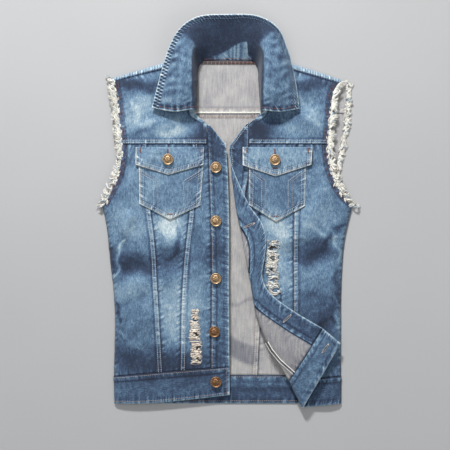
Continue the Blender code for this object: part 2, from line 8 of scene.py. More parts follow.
import bpy
import numpy as np
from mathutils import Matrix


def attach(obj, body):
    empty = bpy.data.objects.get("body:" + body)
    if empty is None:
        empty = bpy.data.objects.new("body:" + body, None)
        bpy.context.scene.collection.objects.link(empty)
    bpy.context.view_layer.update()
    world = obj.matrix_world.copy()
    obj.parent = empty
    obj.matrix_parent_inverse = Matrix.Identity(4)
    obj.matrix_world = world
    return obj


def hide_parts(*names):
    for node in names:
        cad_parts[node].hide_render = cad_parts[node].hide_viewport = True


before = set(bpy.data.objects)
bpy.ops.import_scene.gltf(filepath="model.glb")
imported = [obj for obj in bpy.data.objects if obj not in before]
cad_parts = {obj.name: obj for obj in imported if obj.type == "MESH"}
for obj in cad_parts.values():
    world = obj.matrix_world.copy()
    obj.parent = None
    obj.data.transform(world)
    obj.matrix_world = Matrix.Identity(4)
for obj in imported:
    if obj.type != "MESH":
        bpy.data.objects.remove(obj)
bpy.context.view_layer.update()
MM = 0.001

# The solids' own sizes, repeated from the CAD
CLOTH, DOUBLE, GAP, REST = 1.5, 2.4, 0.3, 1.8
YOKE_SEAM, UNDERARM, HEM = 125, 6, -369
BACK_YOKE_SEAM, BACK_BAND_SEAM, BAND_SEAM_SIDE = 184, -315, -317
PLACKET, LEFT_PLACKET_LINE = 38, 40
PUFF, SIDE_REACH, SHOULDER_REACH, HEM_KEEP = 13, 48, 40, 0.42
SIDE_EDGE = {        # (y, out) of the side seam, hem to underarm
    "right": [(-369, 216), (-314, 217), (-209, 215), (-152, 218), (-99, 224), (-38, 230), (6, 238)],
    "left": [(-369, 215), (-314, 215), (-247, 215), (-171, 215), (-114, 217), (-57, 222), (6, 236)],
}
ARMHOLE = {          # (y, out) of the front's cut armhole, underarm to shoulder
    "right": [(6, 238), (28, 226), (57, 213), (95, 203), (133, 203), (171, 207), (209, 211), (250, 220)],
    "left": [(6, 236), (38, 211), (76, 196), (114, 190), (152, 192), (190, 196), (224, 201), (246, 214)],
}
BACK_ARMHOLE = {     # (y, out) of the back's cut armhole
    "right": [(6, 238), (28, 228), (57, 216), (95, 207), (133, 206), (171, 209), (209, 213), (248, 221)],
    "left": [(6, 236), (38, 216), (76, 208), (114, 214), (152, 222), (190, 226), (224, 228), (246, 230)],
}
SHOULDER_FOLD = {    # (out, y) of the top edge, where the back yoke comes over to the front
    "right": [(66, 294), (120, 281), (167, 266), (220, 250)],
    "left": [(66, 294), (120, 279), (167, 264), (218, 246)],
}
SHOULDER_SEAM = {    # (out, y) of the seam in front of it
    "right": [(66, 281), (120, 268), (167, 257), (220, 244)],
    "left": [(66, 281), (120, 266), (167, 253), (218, 239)],
}
NECK_SIDE = [(150, 20), (165, 41), (175, 54), (186, 62), (230, 64), (281, 66)]
OUTER_SEAM = {       # (y, out) of the seam between side and middle panels
    "right": [(-310, 124), (-152, 133), (-57, 139), (-4, 146), (125, 154)],
    "left": [(-316, 124), (-171, 124), (-4, 125), (125, 133)],
}
INNER_SEAM = [(-304, 91), (-171, 89), (-76, 82), (-4, 74), (125, 68)]
PLACKET_LINE = [(-296, 33), (-76, 32), (114, 38), (165, 40)]
FREE_EDGE = [(-352, 3), (-130, 1.5), (-40, 2), (22, 1), (76, -1), (121, -4)]
BAND_SEAM = [(-217, -317), (-120, -308), (-34, -301), (3, -298)]
BAND_HEM = [(-216, -369), (-148, -368), (-72, -361), (3, -352)]
BACK_SEAM = [(-315, 57), (184, 84)]
ROLL = [             # (x, y) along the line where the left front turns, neck to waistband
    (2, 166), (2, 137), (2.2, 114), (7, 72), (17, -4), (26, -47), (32, -80), (38, -113), (45, -152),
    (52, -192), (74, -250), (116, -324),
]
EDGE = [             # (x, y) of the free edge beside each point of it
    (37, 166), (15, 137), (2.2, 114), (11, 74), (39, 12), (63, -23), (72, -53), (70, -86), (65, -127),
    (82, -160), (128, -194), (179, -224),
]
ROLL_TIP, EDGE_CORNER = (142, -376), (213, -253)
TURNED_SEAM = [(0.25, 68), (0.6, 80), (0.8, 90), (1.0, 95)]
FOLDS = [            # (x0, y0, x1, y1, half width, height) of the largest folds
    (-222, -78, -186, -14, 11, 6), (-232, -18, -196, -70, 9, -4), (-205, -118, -96, -92, 19, -5),
    (-196, -142, -104, -128, 20, 3), (-108, -60, -62, -112, 16, 3), (-206, -250, -150, -205, 18, 3.5),
    (-196, -296, -128, -262, 16, -3), (-190, 40, -160, 96, 14, 3), (-60, 205, -150, 150, 20, 3),
    (214, -74, 196, -158, 10, 6), (224, -40, 182, -84, 10, -4), (192, -96, 116, -84, 20, -5),
    (196, -232, 130, -170, 18, 4), (205, -205, 168, -246, 12, -4), (184, 30, 150, -40, 17, 3.5),
    (72, 215, 164, 160, 18, 4), (96, 176, 172, 210, 14, -3), (150, -10, 120, -60, 14, 3),
]
BUTTON_RADIUS = 10.5
BUTTONS = {          # x, y of each button
    "placket_1": (-23, 81), "placket_2": (-23, -21), "placket_3": (-23, -130), "placket_4": (-26, -231),
    "placket_5": (-23, -327), "flap_right": (-114, 96), "flap_left": (89, 95),
}
POCKET = {           # corners: top inner, top outer, lower outer, tip, lower inner
    "right": [(-46, 92), (-169, 92), (-168, 12), (-110, -18), (-53, 9)],
    "left": [(40, 92), (148, 92), (146, 8), (91, -22), (40, 10)],
}
FLAP = {
    "right": [(-46, 119), (-175, 119), (-175, 86), (-113, 67), (-47, 86)],
    "left": [(28, 119), (160, 119), (158, 86), (90, 64), (28, 85)],
}
RIPS = {             # (x, y, half width, half height) of each gap between bands of bared thread
    "right_centre": [(-62, -207, 5, 5), (-60, -236, 6, 4), (-58, -262, 6, 5), (-56, -283, 5, 4)],
    "left_middle": [(84, -71, 7, 6), (86, -92, 6, 5), (85, -113, 6, 5), (88, -133, 6, 5), (88, -152, 6, 5)],
}
POCKET_LIFT = CLOTH + GAP + 0.9
FLAP_LIFT = POCKET_LIFT + CLOTH + 1.6
POCKET_DEPTH, FLAP_DEPTH = 2.0, 1.6
COLLAR = [           # neck seam, break, middle of the leaf and outer edge, each (x, y, z)
    ((-62, 184, 21), (-67, 190, 33), (-103, 186, 31), (-144, 194, 24)),
    ((-60, 209, 20), (-69, 222, 41), (-98, 222, 40), (-135, 228, 26)),
    ((-59, 243, 13), (-69, 262, 44), (-93, 266, 44), (-124, 268, 27)),
    ((-57, 270, 6), (-67, 300, 40), (-86, 308, 45), (-110, 310, 33)),
    ((-48, 284, 3.2), (-53, 313, 27), (-67, 338, 41), (-89, 344, 40)),
    ((-27, 285.5, 3.2), (-29, 314, 17), (-33, 340, 29), (-54, 365, 40)),
    ((0, 286, 3.2), (0, 314, 14), (0, 341, 25), (0, 369, 38)),
    ((27, 285.5, 3.2), (29, 314, 17), (33, 340, 29), (55, 366, 40)),
    ((48, 284, 3.2), (54, 313, 27), (70, 336, 41), (94, 343, 40)),
    ((57, 270, 6), (67, 300, 40), (88, 302, 45), (113, 302, 33)),
    ((59, 243, 13), (68, 262, 44), (94, 262, 44), (124, 262, 27)),
    ((61, 209, 18), (67, 222, 41), (98, 220, 40), (131, 224, 26)),
    ((63, 184, 19), (67, 188, 33), (101, 186, 31), (135, 192, 24)),
]
SIGN = {"right": -1, "left": 1}

# Looks
CELL = 2.6           # the cloth's mesh, in millimetres
BACK_CELL, COLLAR_CELL, POCKET_CELL = 4.0, 1.5, 2.2
COLLAR_LENGTH, COLLAR_DEPTH = 560, 92
POCKET_TONE = {      # before the fades and painted shade
    "right_pocket": 0.46, "left_pocket": 0.39, "right_flap": 0.52, "left_flap": 0.57,
}
SEWN_LIFT = 0.3      # of stitches over the cloth
STITCH_PITCH, STITCH_LENGTH, STITCH_HALF_WIDTH = 3.6, 2.7, 0.42
WEAR_AND_SHADE_PATCHES = [            # (x, y, half width, half height, change of tone): worn pale where positive; dark where negative, partly darker cloth and partly painted shade cast by the collar and the folds
    (62, 160, 50, 20, -0.24), (-167, 199, 36, 36, 0.13), (-138, 163, 52, 14, 0.16), (-103, 146, 32, 10, 0.28),
    (-172, 236, 50, 12, -0.42), (-44, 146, 26, 22, -0.32), (-22, 112, 26, 16, -0.22), (-107, -36, 28, 30, 0.40),
    (-107, -97, 36, 24, -0.21), (-184, -106, 42, 23, -0.34), (-30, -80, 34, 24, -0.22),
    (-184, -28, 46, 38, 0.15), (-184, -150, 46, 26, 0.15), (-102, -192, 32, 70, 0.25),
    (-60, -180, 16, 50, 0.14), (-120, -291, 102, 29, -0.36), (-198, -256, 26, 52, -0.13),
    (-175, 62, 22, 40, 0.08), (-66, 50, 10, 50, -0.05), (136, 199, 40, 24, 0.05), (166, 172, 24, 22, 0.14),
    (150, 238, 56, 11, -0.28), (118, 150, 26, 10, 0.18), (48, 150, 32, 22, -0.34), (92, -32, 32, 32, 0.31),
    (96, -112, 26, 56, 0.22), (163, -80, 34, 21, -0.30), (168, -16, 46, 30, 0.13), (166, -124, 36, 22, 0.08),
    (170, -186, 34, 44, -0.16), (186, -214, 26, 34, -0.20), (168, -292, 60, 20, -0.10), (165, 62, 24, 40, 0.01),
]
RIDGE_HIGHLIGHTS_AND_TROUGH_SHADE = [            # (x0, y0, x1, y1, half width, change of tone) of pale ridges, partly worn and partly painted highlight, and of dark troughs of painted shade
    (-197, -60, -217, -124, 3.2, 0.34), (-219, -62, -225, -104, 8, -0.30), (-213, -170, -209, -212, 4, -0.26),
    (-89, -40, -105, -92, 5, -0.26), (-148, 218, -198, 160, 12, 0.12), (-192, 214, -160, 150, 5, 0.12),
    (-120, 172, -172, 140, 5, -0.14), (-200, -232, -150, -268, 6, 0.14), (-178, 118, -200, 62, 5, -0.12),
    (222, -22, 184, -66, 6, -0.30), (203, -40, 208, -98, 4, 0.26), (200, -168, 217, -238, 4, 0.20),
    (210, -122, 203, -212, 7, -0.24), (137, 218, 172, 150, 9, 0.10), (166, 214, 138, 158, 4, 0.08),
    (150, -20, 196, -62, 5, 0.12), (112, 190, 176, 152, 4, -0.12), (134, -232, 190, -172, 5, 0.12),
]


# Curves and tables

def follow(rows):
    """A smooth line through rows of (at, value), going on straight past its ends."""
    at, value = np.array(sorted(rows), float).T
    order = np.arange(len(at))
    before, after = np.maximum(order - 1, 0), np.minimum(order + 1, len(at) - 1)
    slope = (value[after] - value[before]) / (at[after] - at[before])

    def line(x):
        x = np.asarray(x, float)
        i = np.clip(np.searchsorted(at, x, "right") - 1, 0, len(at) - 2)
        span = at[i + 1] - at[i]
        t = np.clip((x - at[i]) / span, 0, 1)
        curve = (2 * t**3 - 3 * t**2 + 1) * value[i] + (t**3 - 2 * t**2 + t) * span * slope[i]
        curve = curve + (3 * t**2 - 2 * t**3) * value[i + 1] + (t**3 - t**2) * span * slope[i + 1]
        return curve + slope[0] * np.minimum(x - at[0], 0) + slope[-1] * np.maximum(x - at[-1], 0)

    return line


def thread(points):
    """A smooth line through points, as a function of 0 to 1 that spends an equal share on each stretch."""
    last = len(points) - 1
    bases = [follow([(i, float(i == j)) for i in range(last + 1)]) for j in range(last + 1)]
    ends = [np.asarray(point, float) for point in points]
    return lambda t: sum(base(np.asarray(t) * last)[..., None] * end for base, end in zip(bases, ends))


def mix(a, b, t):
    return a * (1 - t) + b * t


def dome(share):
    return np.sqrt(np.maximum(1 - (1 - np.clip(share, 0, 1)) ** 2, 0))


def ease(low, high, at):
    t = np.clip((at - low) / (high - low), 0, 1)
    return t * t * (3 - 2 * t)


def bell(distance, width):
    return np.exp(-((distance / width) ** 2))


def unit(vectors):
    return vectors / np.maximum(np.linalg.norm(vectors, axis=-1, keepdims=True), 1e-9)


side_edge = {side: follow(rows) for side, rows in SIDE_EDGE.items()}
armhole = {side: follow(rows) for side, rows in ARMHOLE.items()}
back_armhole = {side: follow(rows) for side, rows in BACK_ARMHOLE.items()}
shoulder_fold = {side: follow(rows) for side, rows in SHOULDER_FOLD.items()}
shoulder_seam = {side: follow(rows) for side, rows in SHOULDER_SEAM.items()}
outer_seam = {side: follow(rows) for side, rows in OUTER_SEAM.items()}
neckline, inner_seam, placket_line = follow(NECK_SIDE), follow(INNER_SEAM), follow(PLACKET_LINE)
free_edge, band_seam, band_hem = follow(FREE_EDGE), follow(BAND_SEAM), follow(BAND_HEM)


# The lie of the cloth

def strokes(seed, count, low, high, width, height):
    """Uneven small creases: (x0, y0, x1, y1, half width, height) rows inside a box."""
    dice = np.random.default_rng(seed)
    rows = []
    for _ in range(count):
        x, y = dice.uniform(low, high)
        turn, reach = dice.uniform(-0.9, 0.9) + (dice.random() < 0.3) * 1.2, dice.uniform(9, 34)
        run_x, run_y = reach * math.cos(turn), reach * math.sin(turn)
        half, rise = dice.uniform(*width), dice.choice([-1, 1]) * dice.uniform(*height)
        rows.append((x - run_x, y - run_y, x + run_x, y + run_y, half, rise))
    return rows


CREASES = strokes(11, 46, (-225, -350), (5, 250), (4, 9), (0.4, 1.3))
CREASES += strokes(12, 40, (20, -350), (225, 250), (4, 9), (0.4, 1.3))
RUMPLES = strokes(14, 230, (-225, -350), (225, 250), (2.5, 6), (0.12, 0.42))
BACK_CREASES = strokes(13, 60, (-220, -350), (220, 270), (5, 12), (0.2, 0.7))


def crease_field(rows, x, y, pinch=0.4):
    """The heights of creases, each narrower by the share pinch at its ends."""
    total = np.zeros(np.broadcast(x, y).shape)
    for x0, y0, x1, y1, width, height in rows:
        run_x, run_y = x1 - x0, y1 - y0
        along = np.clip(((x - x0) * run_x + (y - y0) * run_y) / (run_x**2 + run_y**2), 0, 1)
        off = np.hypot(x - x0 - run_x * along, y - y0 - run_y * along)
        total = total + height * bell(off, width * (1 - pinch + pinch * np.sin(math.pi * along)))
    return total


def outline_out(side, y):
    return np.where(y < UNDERARM, side_edge[side](y), armhole[side](y))


def front_height(side, x, y):
    """The height of the middle of the cloth over any point of a front."""
    out = x * SIGN[side]
    inward = outline_out(side, y) - out
    open_edge = ease(UNDERARM - 4, UNDERARM + 50, y) * 0.5
    edge = open_edge + (1 - open_edge) * dome(inward / SIDE_REACH)
    shoulder = dome((shoulder_fold[side](out) - y) / SHOULDER_REACH)
    hem = HEM_KEEP + (1 - HEM_KEEP) * ease(HEM, HEM + 120, y)
    tied = ease(0, 40, inward) * ease(HEM, HEM + 60, y) * ease(0, 30, shoulder_fold[side](out) - y)
    small = ease(0, 14, inward) * ease(HEM, HEM + 20, y) * ease(0, 16, shoulder_fold[side](out) - y)
    folds = crease_field(FOLDS, x, y, 0) * tied + crease_field(CREASES, x, y) * small
    return REST + CLOTH / 2 + PUFF * edge * shoulder * hem + folds


def fold_height(side, x, y):
    near_edge = 1 - ease(0, 6, outline_out(side, y) - x * SIGN[side])
    return front_height(side, x, y) - (CLOTH / 2) * near_edge * (y < UNDERARM)


roll_line, edge_line = thread(ROLL), thread(EDGE)
turned_seam = follow(TURNED_SEAM)
V_ROW = 2 / (len(ROLL) - 1)
STRIP_ROWS, CENTRE_ROWS = 28, 24    # of the turned strip, and how many of them the centre panel takes up


def turned_width(row):
    return np.where(row > V_ROW, np.linalg.norm(edge_line(row) - roll_line(row), axis=-1), 0.0)


def lap(width, c, start, over, under, sink, spring):
    """Where a point at distance c from the free edge lies, on cloth that turns over at start."""
    beyond = c - width
    place = start + np.where((beyond < 0)[..., None], over * -beyond[..., None], under * beyond[..., None])
    x, y = place[..., 0], place[..., 1]
    middle = front_height("left", x, y) - sink(x, y) + spring
    swing = dome(np.abs(beyond) / (2.2 * spring)) * spring
    free = 1 - np.minimum(c / np.maximum(width, 1.0), 1.0)
    settle = ease(0.35, 1.0, free) * spring * 0.7
    return np.stack([x, y, middle + np.where(beyond < 0, swing - settle, -swing)], -1)


def sink_near_roll(x, y):
    return np.where(y < 130, 6.0 * (1 - ease(0, 70, x - roll_x(y))) * ease(130, 60, y), 0.0)


def turned(c, row):
    """The left front: c is the distance from its free edge, row runs 0 at the neck to 1 at the waistband."""
    row = np.clip(row, 0, 1.02)
    start, edge = roll_line(row), edge_line(row)
    width = turned_width(row)
    sideways = np.broadcast_to([1.0, 0.0], start.shape)
    over = np.where((width > 0.5)[..., None], unit(edge - start), sideways)
    under = unit(mix(sideways, np.array([0.97, -0.12]), row[..., None]))
    spring = (1.9 + 5.6 * ease(V_ROW, 1.0, row)) * ease(0, 14, width + 4)
    folded = lap(width, c, start, over, under, sink_near_roll, spring)
    x, y = edge[..., 0] + c, edge[..., 1] + 0 * c
    flat = np.stack([x, y, front_height("left", x, y) + (DOUBLE - CLOTH) / 2], -1)
    return np.where((row <= V_ROW)[..., None], flat, folded)


ROLL_STEPS = V_ROW + (1 - V_ROW) * np.arange(41) / 40
roll_x = follow([(p[1], p[0]) for p in roll_line(ROLL_STEPS)])


def placket_share(row):
    top = LEFT_PLACKET_LINE - edge_line(row)[..., 0]
    joined = LEFT_PLACKET_LINE - edge_line(np.array(V_ROW))[0]
    return np.where(row <= V_ROW, top, mix(joined, PLACKET, ease(V_ROW, V_ROW + 0.1, row)))


def inner_limit(row):
    return np.maximum(turned_seam(row), turned_width(row) + 5.0)


EDGE_STEPS = V_ROW * 0.7 + (1 - V_ROW * 0.7) * np.arange(41) / 40
centre_edge = follow([(p[1], p[0]) for p in turned(inner_limit(EDGE_STEPS), EDGE_STEPS)])


# Shader maths

class Wire:
    """A socket of a material; arithmetic on it adds Math nodes."""

    def __init__(self, tree, socket=None):
        self.tree, self.socket = tree, socket

    def make(self, kind, settings=None, inputs=None, output=0):
        """Any other node: its settings first, then the values or links of its sockets."""
        node = self.tree.nodes.new(kind)
        for name, value in (settings or {}).items():
            if name == "stops":
                ramp = node.color_ramp.elements
                while len(ramp) < len(value):
                    ramp.new(1.0)
                for stop, (at, colour) in zip(ramp, value):
                    stop.position, stop.color = at, (*colour, 1)
            else:
                setattr(node, name, value)
        for name, value in (inputs or {}).items():
            if isinstance(value, Wire):
                self.tree.links.new(value.socket, node.inputs[name])
            else:
                node.inputs[name].default_value = value
        return Wire(self.tree, node.outputs[output])

    def maths(self, operation, *values, clamp=False):
        settings = {"operation": operation, "use_clamp": clamp}
        return self.make("ShaderNodeMath", settings, dict(enumerate(values)))

    def __add__(self, other):
        return self.maths("ADD", self, other)

    __radd__ = __add__

    def __mul__(self, other):
        return self.maths("MULTIPLY", self, other)

    __rmul__ = __mul__

    def __sub__(self, other):
        return self.maths("SUBTRACT", self, other)

    def __rsub__(self, other):
        return self.maths("SUBTRACT", other, self)

    def blend(self, first, second):
        """Mixes two colours by this value."""
        return self.make("ShaderNodeMix", {"data_type": "RGBA"}, {0: self, 6: first, 7: second}, output=2)

    def stretched(self, x, y, z):
        return self.make("ShaderNodeVectorMath", {"operation": "MULTIPLY"}, {0: self, 1: (x, y, z)})

    def noise(self, scale, detail=2.0, rough=0.5):
        inputs = {"Vector": self, "Scale": scale, "Detail": detail, "Roughness": rough}
        return self.make("ShaderNodeTexNoise", {}, inputs)

    def twill(self, slant, distortion):
        """The fine diagonal of the weave, which leans the other way on the wrong side."""
        inputs = {"Vector": self.stretched(slant, 1.0, 0.0), "Scale": 240.0, "Distortion": distortion,
                  "Detail": 1.0}
        return self.make("ShaderNodeTexWave", {"bands_direction": "DIAGONAL"}, inputs)

    def worn_and_shaded(self):
        """The tone painted on the mesh: wear, patina, painted light and painted shade."""
        return self.make("ShaderNodeAttribute", {"attribute_name": "tone"}, output=2)


def start_material(name, roughness, metallic=0.0):
    made = bpy.data.materials.new(name)
    made.use_nodes = True
    shader = made.node_tree.nodes["Principled BSDF"]
    shader.inputs["Roughness"].default_value = roughness
    shader.inputs["Metallic"].default_value = metallic
    place = Wire(made.node_tree).make("ShaderNodeTexCoord", output=3)
    return made, shader, place


def connect(shader, colour, height=None, strength=0.3, distance=0.0004):
    """Feeds the colour, and a bump from a height."""
    tree = colour.tree
    tree.links.new(colour.socket, shader.inputs["Base Color"])
    if height is not None:
        inputs = {"Strength": strength, "Distance": distance, "Height": height}
        bump = height.make("ShaderNodeBump", {}, inputs)
        tree.links.new(bump.socket, shader.inputs["Normal"])


INDIGO = [           # colour at each tone, darkest first
    (0.0, (0.009, 0.018, 0.041)), (0.20, (0.023, 0.045, 0.094)), (0.36, (0.054, 0.103, 0.176)),
    (0.52, (0.114, 0.200, 0.298)), (0.68, (0.218, 0.312, 0.388)), (0.85, (0.428, 0.510, 0.536)),
    (1.0, (0.66, 0.71, 0.71)),
]
WRONG_SIDE = [       # the same for the inside
    (0.0, (0.06, 0.08, 0.11)), (0.35, (0.24, 0.235, 0.25)), (0.6, (0.395, 0.385, 0.375)),
    (1.0, (0.64, 0.61, 0.56)),
]


def denim_material(name, along=(1.0, 0.16, 1.0)):
    """Indigo twill: pale weft between dark warp, slubs along the warp, and the mesh's own tone of wear and
    painted light and shade.
    """
    made, shader, place = start_material(name, 0.88)
    tone = place.worn_and_shaded()
    slub = place.stretched(*along).noise(900.0, 3.0, 0.65)
    fleck = place.noise(620.0, 2.0, 0.7)
    cloud = place.noise(46.0, 4.0, 0.62)
    twill = place.twill(1.0, 1.2)
    mottle = place.stretched(1.0, 0.55, 1.0).noise(210.0, 3.0, 0.7)
    grain = ((slub - 0.5) * 0.62 + (fleck - 0.5) * 0.50 + (mottle - 0.5) * 0.46 + (cloud - 0.5) * 0.32
             + (twill - 0.5) * 0.08)
    worn_and_shaded = place.maths("ADD", tone, grain, clamp=True)
    colour = worn_and_shaded.make("ShaderNodeValToRGB", {"stops": INDIGO}, {0: worn_and_shaded})
    connect(shader, colour, slub * 0.6 + fleck * 0.5 + twill * 0.5, 0.55, 0.0006)
    shader.inputs["Sheen Weight"].default_value = 0.12
    return made


def inside_material():
    """The wrong side of the denim: mostly pale weft with a blue shadow of the warp."""
    made, shader, place = start_material("denim inside", 0.92)
    tone = place.worn_and_shaded()
    fleck = place.noise(760.0, 2.0, 0.75)
    slub = place.stretched(1.0, 0.10, 1.0).noise(430.0, 2.0, 0.6)
    cloud = place.noise(34.0, 4.0, 0.6)
    twill = place.twill(-1.0, 1.0)
    shade = (tone - 0.5) * 0.9 + fleck * 0.50 + slub * 0.42 + cloud * 0.35 + twill * 0.12 - 0.19
    colour = shade.make("ShaderNodeValToRGB", {"stops": WRONG_SIDE}, {0: shade})
    connect(shader, colour, fleck * 0.7 + slub + twill * 0.4, 0.6, 0.0007)
    return made


def thread_material(name, low, high):
    made, shader, place = start_material(name, 0.8)
    connect(shader, place.noise(420.0, 2.0).blend((*low, 1), (*high, 1)))
    return made


def brass_material(name, base, dark):
    """Cast metal, dark with patina in its hollows, which the tone of the mesh marks."""
    made, shader, place = start_material(name, 0.42, 1.0)
    tone = place.worn_and_shaded()
    patina = place.noise(340.0, 4.0, 0.7)
    spread = place.maths("ADD", tone, (patina - 0.5) * 0.9, clamp=True)
    connect(shader, spread.blend((*dark, 1), (*base, 1)), patina, 0.25, 0.0003)
    made.node_tree.links.new((0.60 - spread * 0.24).socket, shader.inputs["Roughness"])
    return made


LOOK = {
    "denim": denim_material("denim"),
    "denim band": denim_material("denim band", (0.16, 1.0, 1.0)),
    "inside": inside_material(),
    "cream": thread_material("cream thread", (0.62, 0.60, 0.51), (0.93, 0.92, 0.87)),
    "warm": thread_material("bared thread", (0.68, 0.58, 0.46), (0.97, 0.90, 0.79)),
    "tan": thread_material("tan thread", (0.30, 0.21, 0.17), (0.58, 0.47, 0.40)),
    "pale": thread_material("pale thread", (0.42, 0.44, 0.46), (0.72, 0.72, 0.70)),
    "rust": thread_material("rust thread", (0.16, 0.05, 0.04), (0.34, 0.14, 0.10)),
    "navy": thread_material("navy thread", (0.012, 0.018, 0.035), (0.05, 0.07, 0.11)),
    "blue": thread_material("blue thread", (0.06, 0.12, 0.22), (0.24, 0.34, 0.45)),
    "brass": brass_material("antique brass", (0.68, 0.48, 0.29), (0.085, 0.045, 0.020)),
    "copper": brass_material("dull copper", (0.42, 0.23, 0.12), (0.06, 0.030, 0.016)),
}


# Meshes

def add_mesh(name, points, faces, looks, tone=None, face_look=None):
    """A piece from points in millimetres and faces, which rides on the vest."""
    mesh = bpy.data.meshes.new(name)
    mesh.from_pydata((np.asarray(points) * MM).tolist(), [], [list(map(int, face)) for face in faces])
    for look in looks:
        mesh.materials.append(LOOK[look])
    if face_look is not None:
        mesh.polygons.foreach_set("material_index", np.asarray(face_look, np.int32))
    if tone is not None:
        mesh.attributes.new("tone", "FLOAT", "POINT").data.foreach_set("value", np.asarray(tone, np.float32))
    mesh.shade_smooth()
    made = bpy.data.objects.new(name, mesh)
    bpy.context.scene.collection.objects.link(made)
    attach(made, "root")
    return made


def puckers(s, d, seed):
    """Uneven slanting puckers along a seam: -1 to 1 at s along it and d from it."""
    s = s + 0.5 * d * math.sin(seed * 1.7) + 3 * np.sin(s / 31 + seed)
    wave = (0.55 * np.sin(s / 1.45 + seed) + 0.5 * np.sin(s / 2.3 + 2.1 * seed)
            + 0.4 * np.sin(s / 0.86 + 3.3 * seed))
    return np.clip(wave * (0.75 + 0.35 * np.sin(s / 9.0 + seed * 5)), -1.2, 1.2)


def wear_and_shade_at(x, y):
    """The worn patches and the dark ones, which are partly painted shade, with uneven borders, and the marks
    along the folds: pale ridges with painted highlight, and painted shade in the troughs.
    """
    bent_x = x + 5 * np.sin(y / 13 + x / 41) + 2.5 * np.sin(y / 5.3 + 1.0)
    bent_y = y + 4 * np.sin(x / 15 + y / 47) + 2.0 * np.sin(x / 5.9 + 2.0)
    patches = sum(change * np.exp(-np.hypot((bent_x - fx) / wide, (bent_y - fy) / high) ** 2.8)
                  for fx, fy, wide, high, change in WEAR_AND_SHADE_PATCHES)
    return patches + crease_field(RIDGE_HIGHLIGHTS_AND_TROUGH_SHADE, bent_x, bent_y)


# How a border is finished: its relief and change of tone at d from the edge and s along it. All take the
# same values, whichever they use: y from above, the puckers' wave and the ladder of the stitch holes.

def seam_finish(d, s, y, wave, ladder):
    """Puckered, with a lip that ends at a dark line of painted shade, and painted shade in the groove along the
    edge.
    """
    relief = 0.75 * (1 - ease(8.6, 10.6, d)) + 0.14 * ladder
    # The dark lines are painted shade: in the groove at the edge and where the lip steps down.
    dark = 0.36 * bell(d - 0.2, 1.3) + 0.24 * bell(d - 10.9, 1.4)
    return relief, 0.20 * bell(d - 2.6, 1.5) + 0.06 * bell(d - 6, 2.5) + 0.15 * ladder - dark


def fold_finish(d, s, y, wave, ladder):
    """A turned edge, worn pale."""
    tone = 0.44 * bell(d - 0.3, 1.8) + 0.17 * ladder - 0.12 * bell(d - 9.5, 1.4)
    return 0.12 * ladder, tone + 0.10 * wave * bell(d - 12, 6)


def under_finish(d, s, y, wave, ladder):
    """An edge that goes in under its neighbour, darker along it with painted shade."""
    return 0, -0.26 * bell(d, 1.8)


def cut_finish(d, s, y, wave, ladder, above=1.0):
    """The torn armhole, with a thicker ribbed border."""
    ribs = np.sin(s * 1.9) * above
    relief = 0.55 * (1 - ease(12, 14, d)) * above + 0.12 * ribs * (1 - ease(10, 12, d))
    return relief, above * (0.2 * bell(d, 1.2) - (0.22 - 0.07 * ribs) * (1 - ease(11, 14, d)))


def armhole_finish(d, s, y, wave, ladder):
    """A side panel's outer edge, which is cut above the side seam only."""
    return cut_finish(d, s, y, wave, ladder, ease(UNDERARM - 3, UNDERARM + 3, y))


def faced_finish(d, s, y, wave, ladder):
    """A neckline with its facing rolled out, wider towards the collar."""
    wide = 7.5 + 4.5 * ease(160, 178, y)
    relief = 0.3 * (1 - ease(wide - 1, wide + 1, d)) * ease(148, 156, y)
    facing = (1 - ease(wide - 1.5, wide, d)) * ease(146, 160, y)
    return relief, 0.34 * facing * (0.8 + 0.4 * np.sin(y / 2.1)) - 0.22 * bell(d - wide - 1, 1.8)


def roped_finish(d, s, y, wave, ladder):
    """A collar's outer edge: two rows of ribs inside a pale rim."""
    dash = np.sin(s * 2 * math.pi / 6.2 + np.where(d > 7.4, 2.0, 0.0) + 0.8 * np.sin(s / 17))
    row = (d < 14) * np.abs(np.sin(math.pi * np.clip((d - 1.0) / 13, 0, 1) * 2)) ** 0.5
    return 0.50 * dash * row, (0.62 * dash - 0.16) * row + 0.50 * bell(d, 1.6)


def ribbed_finish(d, s, y, wave, ladder):
    """A shoulder seam with close ribs along it."""
    ribs = np.sin(s * 2 * math.pi / 5.0 + 0.7 * np.sin(s / 13))
    relief = 0.25 * ribs + 0.6 * (1 - ease(13, 15, d))
    return relief, 0.22 * ribs * (1 - ease(12, 22, d)) - 0.55 * bell(d, 1.3)


FINISHES = {
    "seam": seam_finish, "fold": fold_finish, "under": under_finish, "cut": cut_finish,
    "armhole": armhole_finish, "faced": faced_finish, "roped": roped_finish, "ribbed": ribbed_finish,
}
pieces = {}          # the cloth pieces made so far, by name


